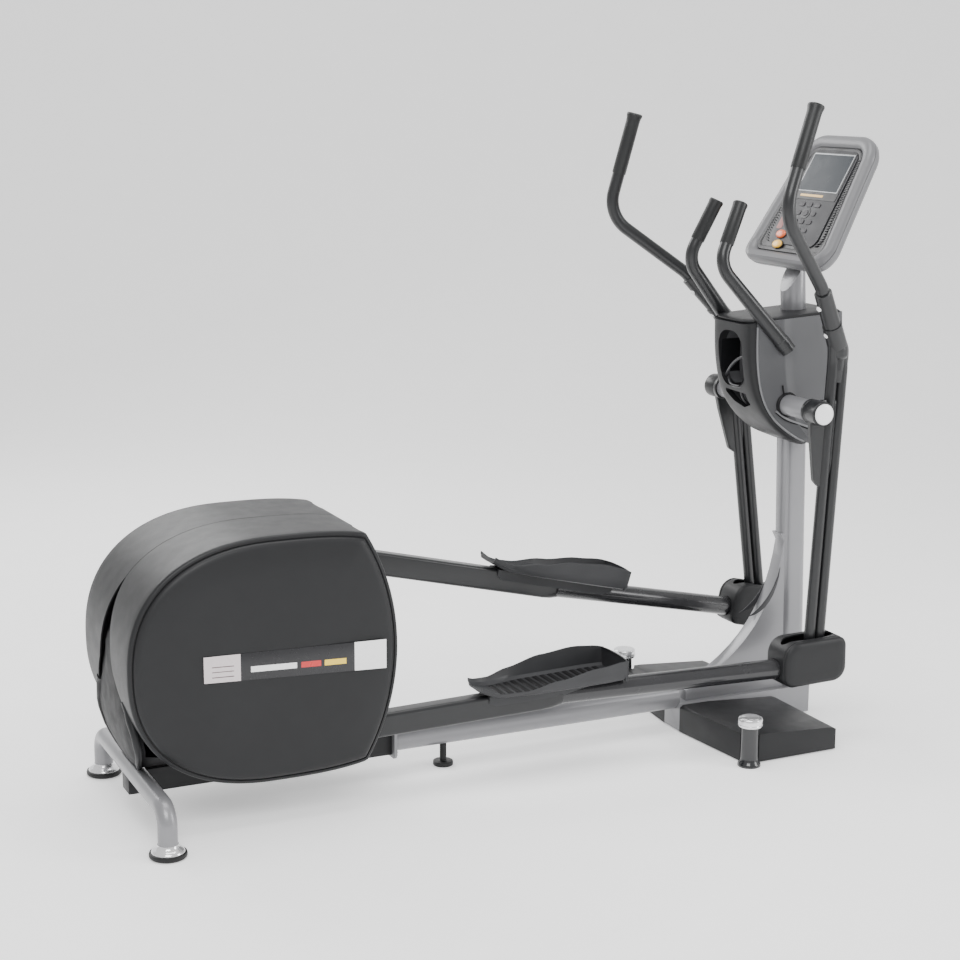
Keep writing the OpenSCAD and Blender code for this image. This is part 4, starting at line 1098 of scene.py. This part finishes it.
# bottle cup inside the slot
rows = [(0.0, 0.868), (0.0, 0.929), (0.003, 0.9305), (0.012, 0.9315), (0.03, 0.9318)]
rings = []
for ins, x in rows:
    outline = slot_outline(0.0583 - ins, 0.9652 + ins, 1.1188 - ins, 0.046 - ins * 0.6)
    rings.append([(x, y, z) for y, z in outline])
v, f = loft(rings, caps=False)
f.append(tuple(range((len(rings) - 1) * 36, len(rings) * 36)))
place("bottle_cup", v, f, "liner_black", "frame", ["bottle_holder"], 50.0)
for k, pts in enumerate((
        [(0.880, -0.058, 1.052), (0.872, -0.030, 1.046), (0.872, 0.010, 1.022), (0.882, 0.056, 0.984)],
        [(0.888, -0.056, 0.972), (0.876, -0.020, 0.966), (0.878, 0.022, 0.968), (0.892, 0.058, 0.990)])):
    path = spline(pts, 20)
    skin("cup_rib_%d" % k, sweep_rings(path, [0.0042] * len(path), 16), "inlay_dark", "frame")
path = spline([(0.893, -0.004, 0.952), (0.905, -0.004, 0.925), (0.93, -0.004, 0.903)], 10)
skin("recess_rib", sweep_rings(path,
                 [0.0035] * 11, 14),
     "inlay_dark", "frame")

for s in (-1, 1):
    # bright edge strip along the seam, a painted highlight, and the ledge that sweeps under the axle tube: a
    # light rod painted as its lit top, with a black rod under it as painted shade
    path = [Vector((SEAM[i].x + 0.001, s * (0.0952 if i > 5 else 0.0935), SEAM[i].y))
            for i in range(2, LEVELS)]
    skin("seam_strip_" + SIDE[s], sweep_rings(path, [0.0032] * len(path), 14),
         "shroud_grey", "frame", mat=PAINTED_EDGE_HIGHLIGHT)
    ledge = spline([(0.946, s * 0.1012, 0.905), (0.975, s * 0.1032, 0.884), (1.015, s * 0.1020, 0.868),
                    (1.060, s * 0.1026, 0.852), (1.105, s * 0.1034, 0.846)], 24)
    skin("ledge_" + SIDE[s], sweep_rings(ledge, [0.0035] * len(ledge), 14),
         "shroud_grey", "frame", mat=PAINTED_EDGE_HIGHLIGHT)
    # painted shade: a thin black rod just under the ledge stands for its shadow
    ledge_shade_path = [p - Vector((0.0, 0, 0.0042)) for p in ledge]
    skin("ledge_groove_" + SIDE[s], sweep_rings(ledge_shade_path, [0.0024] * len(ledge_shade_path), 12), "liner_black", "frame")
    # black collar where the axle enters the shroud; its black also paints the shadow ring there
    lathe("axle_gaiter_" + SIDE[s], (AXLE.x, s * 0.0995, AXLE.z), (0, s, 0),
          [(0, 0.0285), (0, 0.034), (0.004, 0.0345), (0.0075, 0.032), (0.009, 0.0285)], "liner_black",
          "frame", wrap=True)
    # short black rib that joins the crease to the axle tube, painted shade along the crease
    path = spline([(0.962, s * 0.1046, 0.975), (0.966, s * 0.1052, 0.955), (0.974, s * 0.1050, 0.940)], 8)
    skin("crease_tail_" + SIDE[s], sweep_rings(path, [0.0022] * len(path), 12), "liner_black", "frame")

# lid
edge = []
for x, y in ((0.856, 0.050), (0.862, 0.070), (0.872, 0.088), (0.884, 0.0935), (0.96, 0.0975), (1.05, 0.0985),
             (1.130, 0.0975), (1.150, 0.090), (1.157, 0.075)):
    edge.append((x, y))
edge = edge + [(x, -y) for x, y in reversed(edge)]
rings = []
for ins, dz in ((0.006, -0.004), (0.002, -0.002), (0.0, 0.0005), (0.0, 0.003), (0.0035, 0.006),
                (0.012, 0.0075),
                (0.03, 0.0085)):
    ring = []
    for x, y in edge:
        cx = 1.005
        k = 1 - ins / 0.10
        zz = 1.1495 + (x - 0.88) * (1.166 - 1.150) / 0.28
        ring.append((cx + (x - cx) * (1 - ins / 0.15), y * k, zz + dz))
    rings.append(ring)
skin("shroud_lid", rings, "cover_dark", "frame", smooth=30.0)

# ---------------------------------------------------------------- console
TILT = math.radians(60)
CON = Vector((1.151, 0, 1.535))


def on_console(p):
    x, y, z = p
    return Vector((CON.x + x * math.cos(TILT) - z * math.sin(TILT), y,
                   CON.z + x * math.sin(TILT) + z * math.cos(TILT)))


def console_ring(g, z, lip=0.0):
    lo_x, hi_x, w = -0.283, 0.117, 0.192
    half = []
    for a in range(0, 91, 6):
        q = math.radians(a)
        half.append((lo_x + 0.070 - (0.070 + g) * math.cos(q), w - 0.062 + (0.062 + g) * math.sin(q)))
    for a in range(0, 91, 6):
        q = math.radians(a)
        half.append((hi_x - 0.082 + (0.082 + g) * math.sin(q), w - 0.112 + (0.082 + g) * math.cos(q)))
    ring = [(x, y) for x, y in half] + [(x, -y) for x, y in reversed(half)]
    out = []
    for x, y in ring:
        k = max(0.0, min(1.0, (-0.205 - x) / 0.075))
        out.append(on_console((x, y, z + lip * k * k * (3 - 2 * k))))
    return out


rows = [(-0.075, -0.0455, 0), (-0.052, -0.0455, 0), (-0.028, -0.0435, 0), (-0.011, -0.036, 0),
        (-0.003, -0.026, 0), (-0.0003, -0.0145, 0.002), (0, -0.0125, 0.003), (-0.0018, -0.0118, 0.004),
        (-0.0018, -0.0105, 0.004), (0, -0.0095, 0.005), (-0.0008, -0.001, 0.010), (-0.005, 0.0048, 0.013),
        (-0.012, 0.0075, 0.014), (-0.022, 0.0078, 0.012), (-0.030, 0.006, 0.008), (-0.0355, 0.002, 0.003),
        (-0.0375, -0.003, 0), (-0.0385, -0.0055, 0)]
skin("console_body", [console_ring(g, z, lip) for g, z, lip in rows],
     "console_silver", "frame", ["console_shell"], 40.0)
skin("console_face", [console_ring(g, z) for g, z in ((-0.0375, -0.005), (-0.0378, -0.001), (-0.040, 0.0012),
                                      (-0.046, 0.0016), (-0.050, 0.0008), (-0.0515, -0.0010))],
     "console_black", "frame", ["console_bezel"], 35.0)


def face_panel(name, x0, x1, hw0, hw1, r, z0, z1, slot, nodes=(), mat=None, body="frame", c=(0, 0)):
    """A thin rounded panel on the console face; hw0 and hw1 are its half widths at x0 and x1."""
    rings = []
    for ins, z in ((0.0, z0), (0.0, z1 - 0.0006), (0.0005, z1 - 0.0001), (0.0014, z1)):
        ring = []
        for a in range(0, 360, 10):
            q = math.radians(a)
            sx, sy = (1 if math.cos(q) > 0 else -1), (1 if math.sin(q) > 0 else -1)
            x = (x1 - r if sx > 0 else x0 + r) + (r - ins) * math.cos(q)
            t = (x - x0) / (x1 - x0)
            hw = lerp(hw0, hw1, t)
            y = sy * (hw - r) + (r - ins) * math.sin(q)
            ring.append(on_console((c[0] + x, c[1] + y, z)))
        rings.append(ring)
    return skin(name, rings, slot, body, nodes, 30.0, mat)


face_panel("inner_panel", -0.222, 0.070, 0.112, 0.106, 0.030, -0.002, 0.0022, "console_black", mat=PANEL_GREY)
face_panel("screen_surround", -0.083, 0.064, 0.102, 0.098, 0.006, 0.0, 0.0034, "console_black")
face_panel("screen_frame", -0.0585, 0.0585, 0.0935, 0.0935, 0.003, 0.0, 0.0040, "console_silver",
           mat=BEZEL_LINE)
face_panel("screen", -0.0565, 0.0545, 0.0905, 0.0905, 0.0025, 0.0, 0.0044, "screen_glass", ["console_screen"])
face_panel("status_strip", -0.0745, -0.0675, 0.052, 0.052, 0.002, 0.0, 0.0042, "console_black", mat=AMBER,
           c=(0, 0.012))
n = 0
for i in range(4):
    for j in (-1, 0, 1):
        wide = 0.0135 if (i + j) % 2 else 0.0115
        face_panel("key_%d_%d" % (i, j + 1), -0.0068, 0.0068, wide, wide, 0.0060, 0.0015, 0.0042, "key_grey",
                   ["keypad"] if n == 0 else (), c=(-0.098 - 0.026 * i, 0.036 * j * (1 - 0.04 * i)))
        n += 1
face_panel("centre_pad", -0.016, 0.016, 0.019, 0.019, 0.0145, 0.0015, 0.0034, "console_black", c=(-0.124,
                                                                                                  0.0))
face_panel("centre_key", -0.009, 0.009, 0.011, 0.011, 0.0085, 0.002, 0.0052, "key_grey", c=(-0.124, 0.0))
# red tint panel by the keys on the user's left
face_panel("red_panel", -0.178, -0.098, 0.013, 0.010, 0.005, 0.0, 0.0027, "console_black", mat=RED_TRIM,
           c=(0, 0.088))

# grilles down the two sides and across the lower corners
verts, faces = [], []
for s in (-1, 1):
    for i in range(34):
        t = i / 33
        x = lerp(-0.218, 0.040, t)
        y = lerp(0.1335, 0.1185, t) - 0.016 * max(0, (0.10 - t) / 0.10) ** 1.5
        for a, b in (((x, y - 0.0075), (x + 0.004, y + 0.0068)),):
            base = len(verts)
            for xx, yy in ((a[0], a[1]), (a[0] + 0.0032, a[1]), (b[0] + 0.0032, b[1]), (b[0], b[1])):
                verts.append(on_console((xx, s * yy, 0.0005)))
            for xx, yy in ((a[0] + 0.0006, a[1]), (a[0] + 0.0026, a[1]), (b[0] + 0.0026, b[1]),
                           (b[0] + 0.0006, b[1])):
                verts.append(on_console((xx, s * yy, 0.0026)))
            faces += [(base + 4, base + 5, base + 6, base + 7)]
            faces += [(base + k, base + (k + 1) % 4, base + 4 + (k + 1) % 4, base + 4 + k) for k in range(4)]
place("console_grille", verts, faces, "console_black", "frame", smooth=30.0, mat=PANEL_GREY)

for name, c, slot, body, node in (("start_key_top", (-0.194, 0.060), "start_orange", "start_key",
                                   "start_button"),
                                  ("stop_key_top", (-0.225, 0.054), "stop_yellow", "stop_key",
                                   "stop_button")):
    rings = []
    for k, z in ((1.0, -0.001), (1.0, 0.0052), (0.97, 0.0068), (0.88, 0.0082), (0.7, 0.0092), (0.4, 0.0098),
                 (0.1, 0.0100)):
        rings.append([on_console((c[0] + 0.0125 * k * math.cos(a), c[1] + 0.021 * k * math.sin(a), z))
                      for a in (2 * math.pi * i / 48 for i in range(48))])
    skin(name, rings, slot, body, [node], 40.0)
    rings = []
    for k, z in ((1.12, 0.0005), (1.13, 0.0035), (1.09, 0.0045), (1.03, 0.0044), (1.02, 0.0005)):
        rings.append([on_console((c[0] + 0.0125 * k * math.cos(a), c[1] + 0.021 * k * math.sin(a), z))
                      for a in (2 * math.pi * i / 48 for i in range(48))])
    v, f = loft(rings, wrap=True)
    place(name + "_ring", v, f, "console_black", "frame", smooth=40.0)


# ---------------------------------------------------------------- the remaining CAD nodes, softened
shown = set()
for o in bpy.data.objects:
    shown.update(o.get("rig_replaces", []))
for name in sorted(set(frame["nodes"]) - shown):
    softened(name, 0.0012, 2)
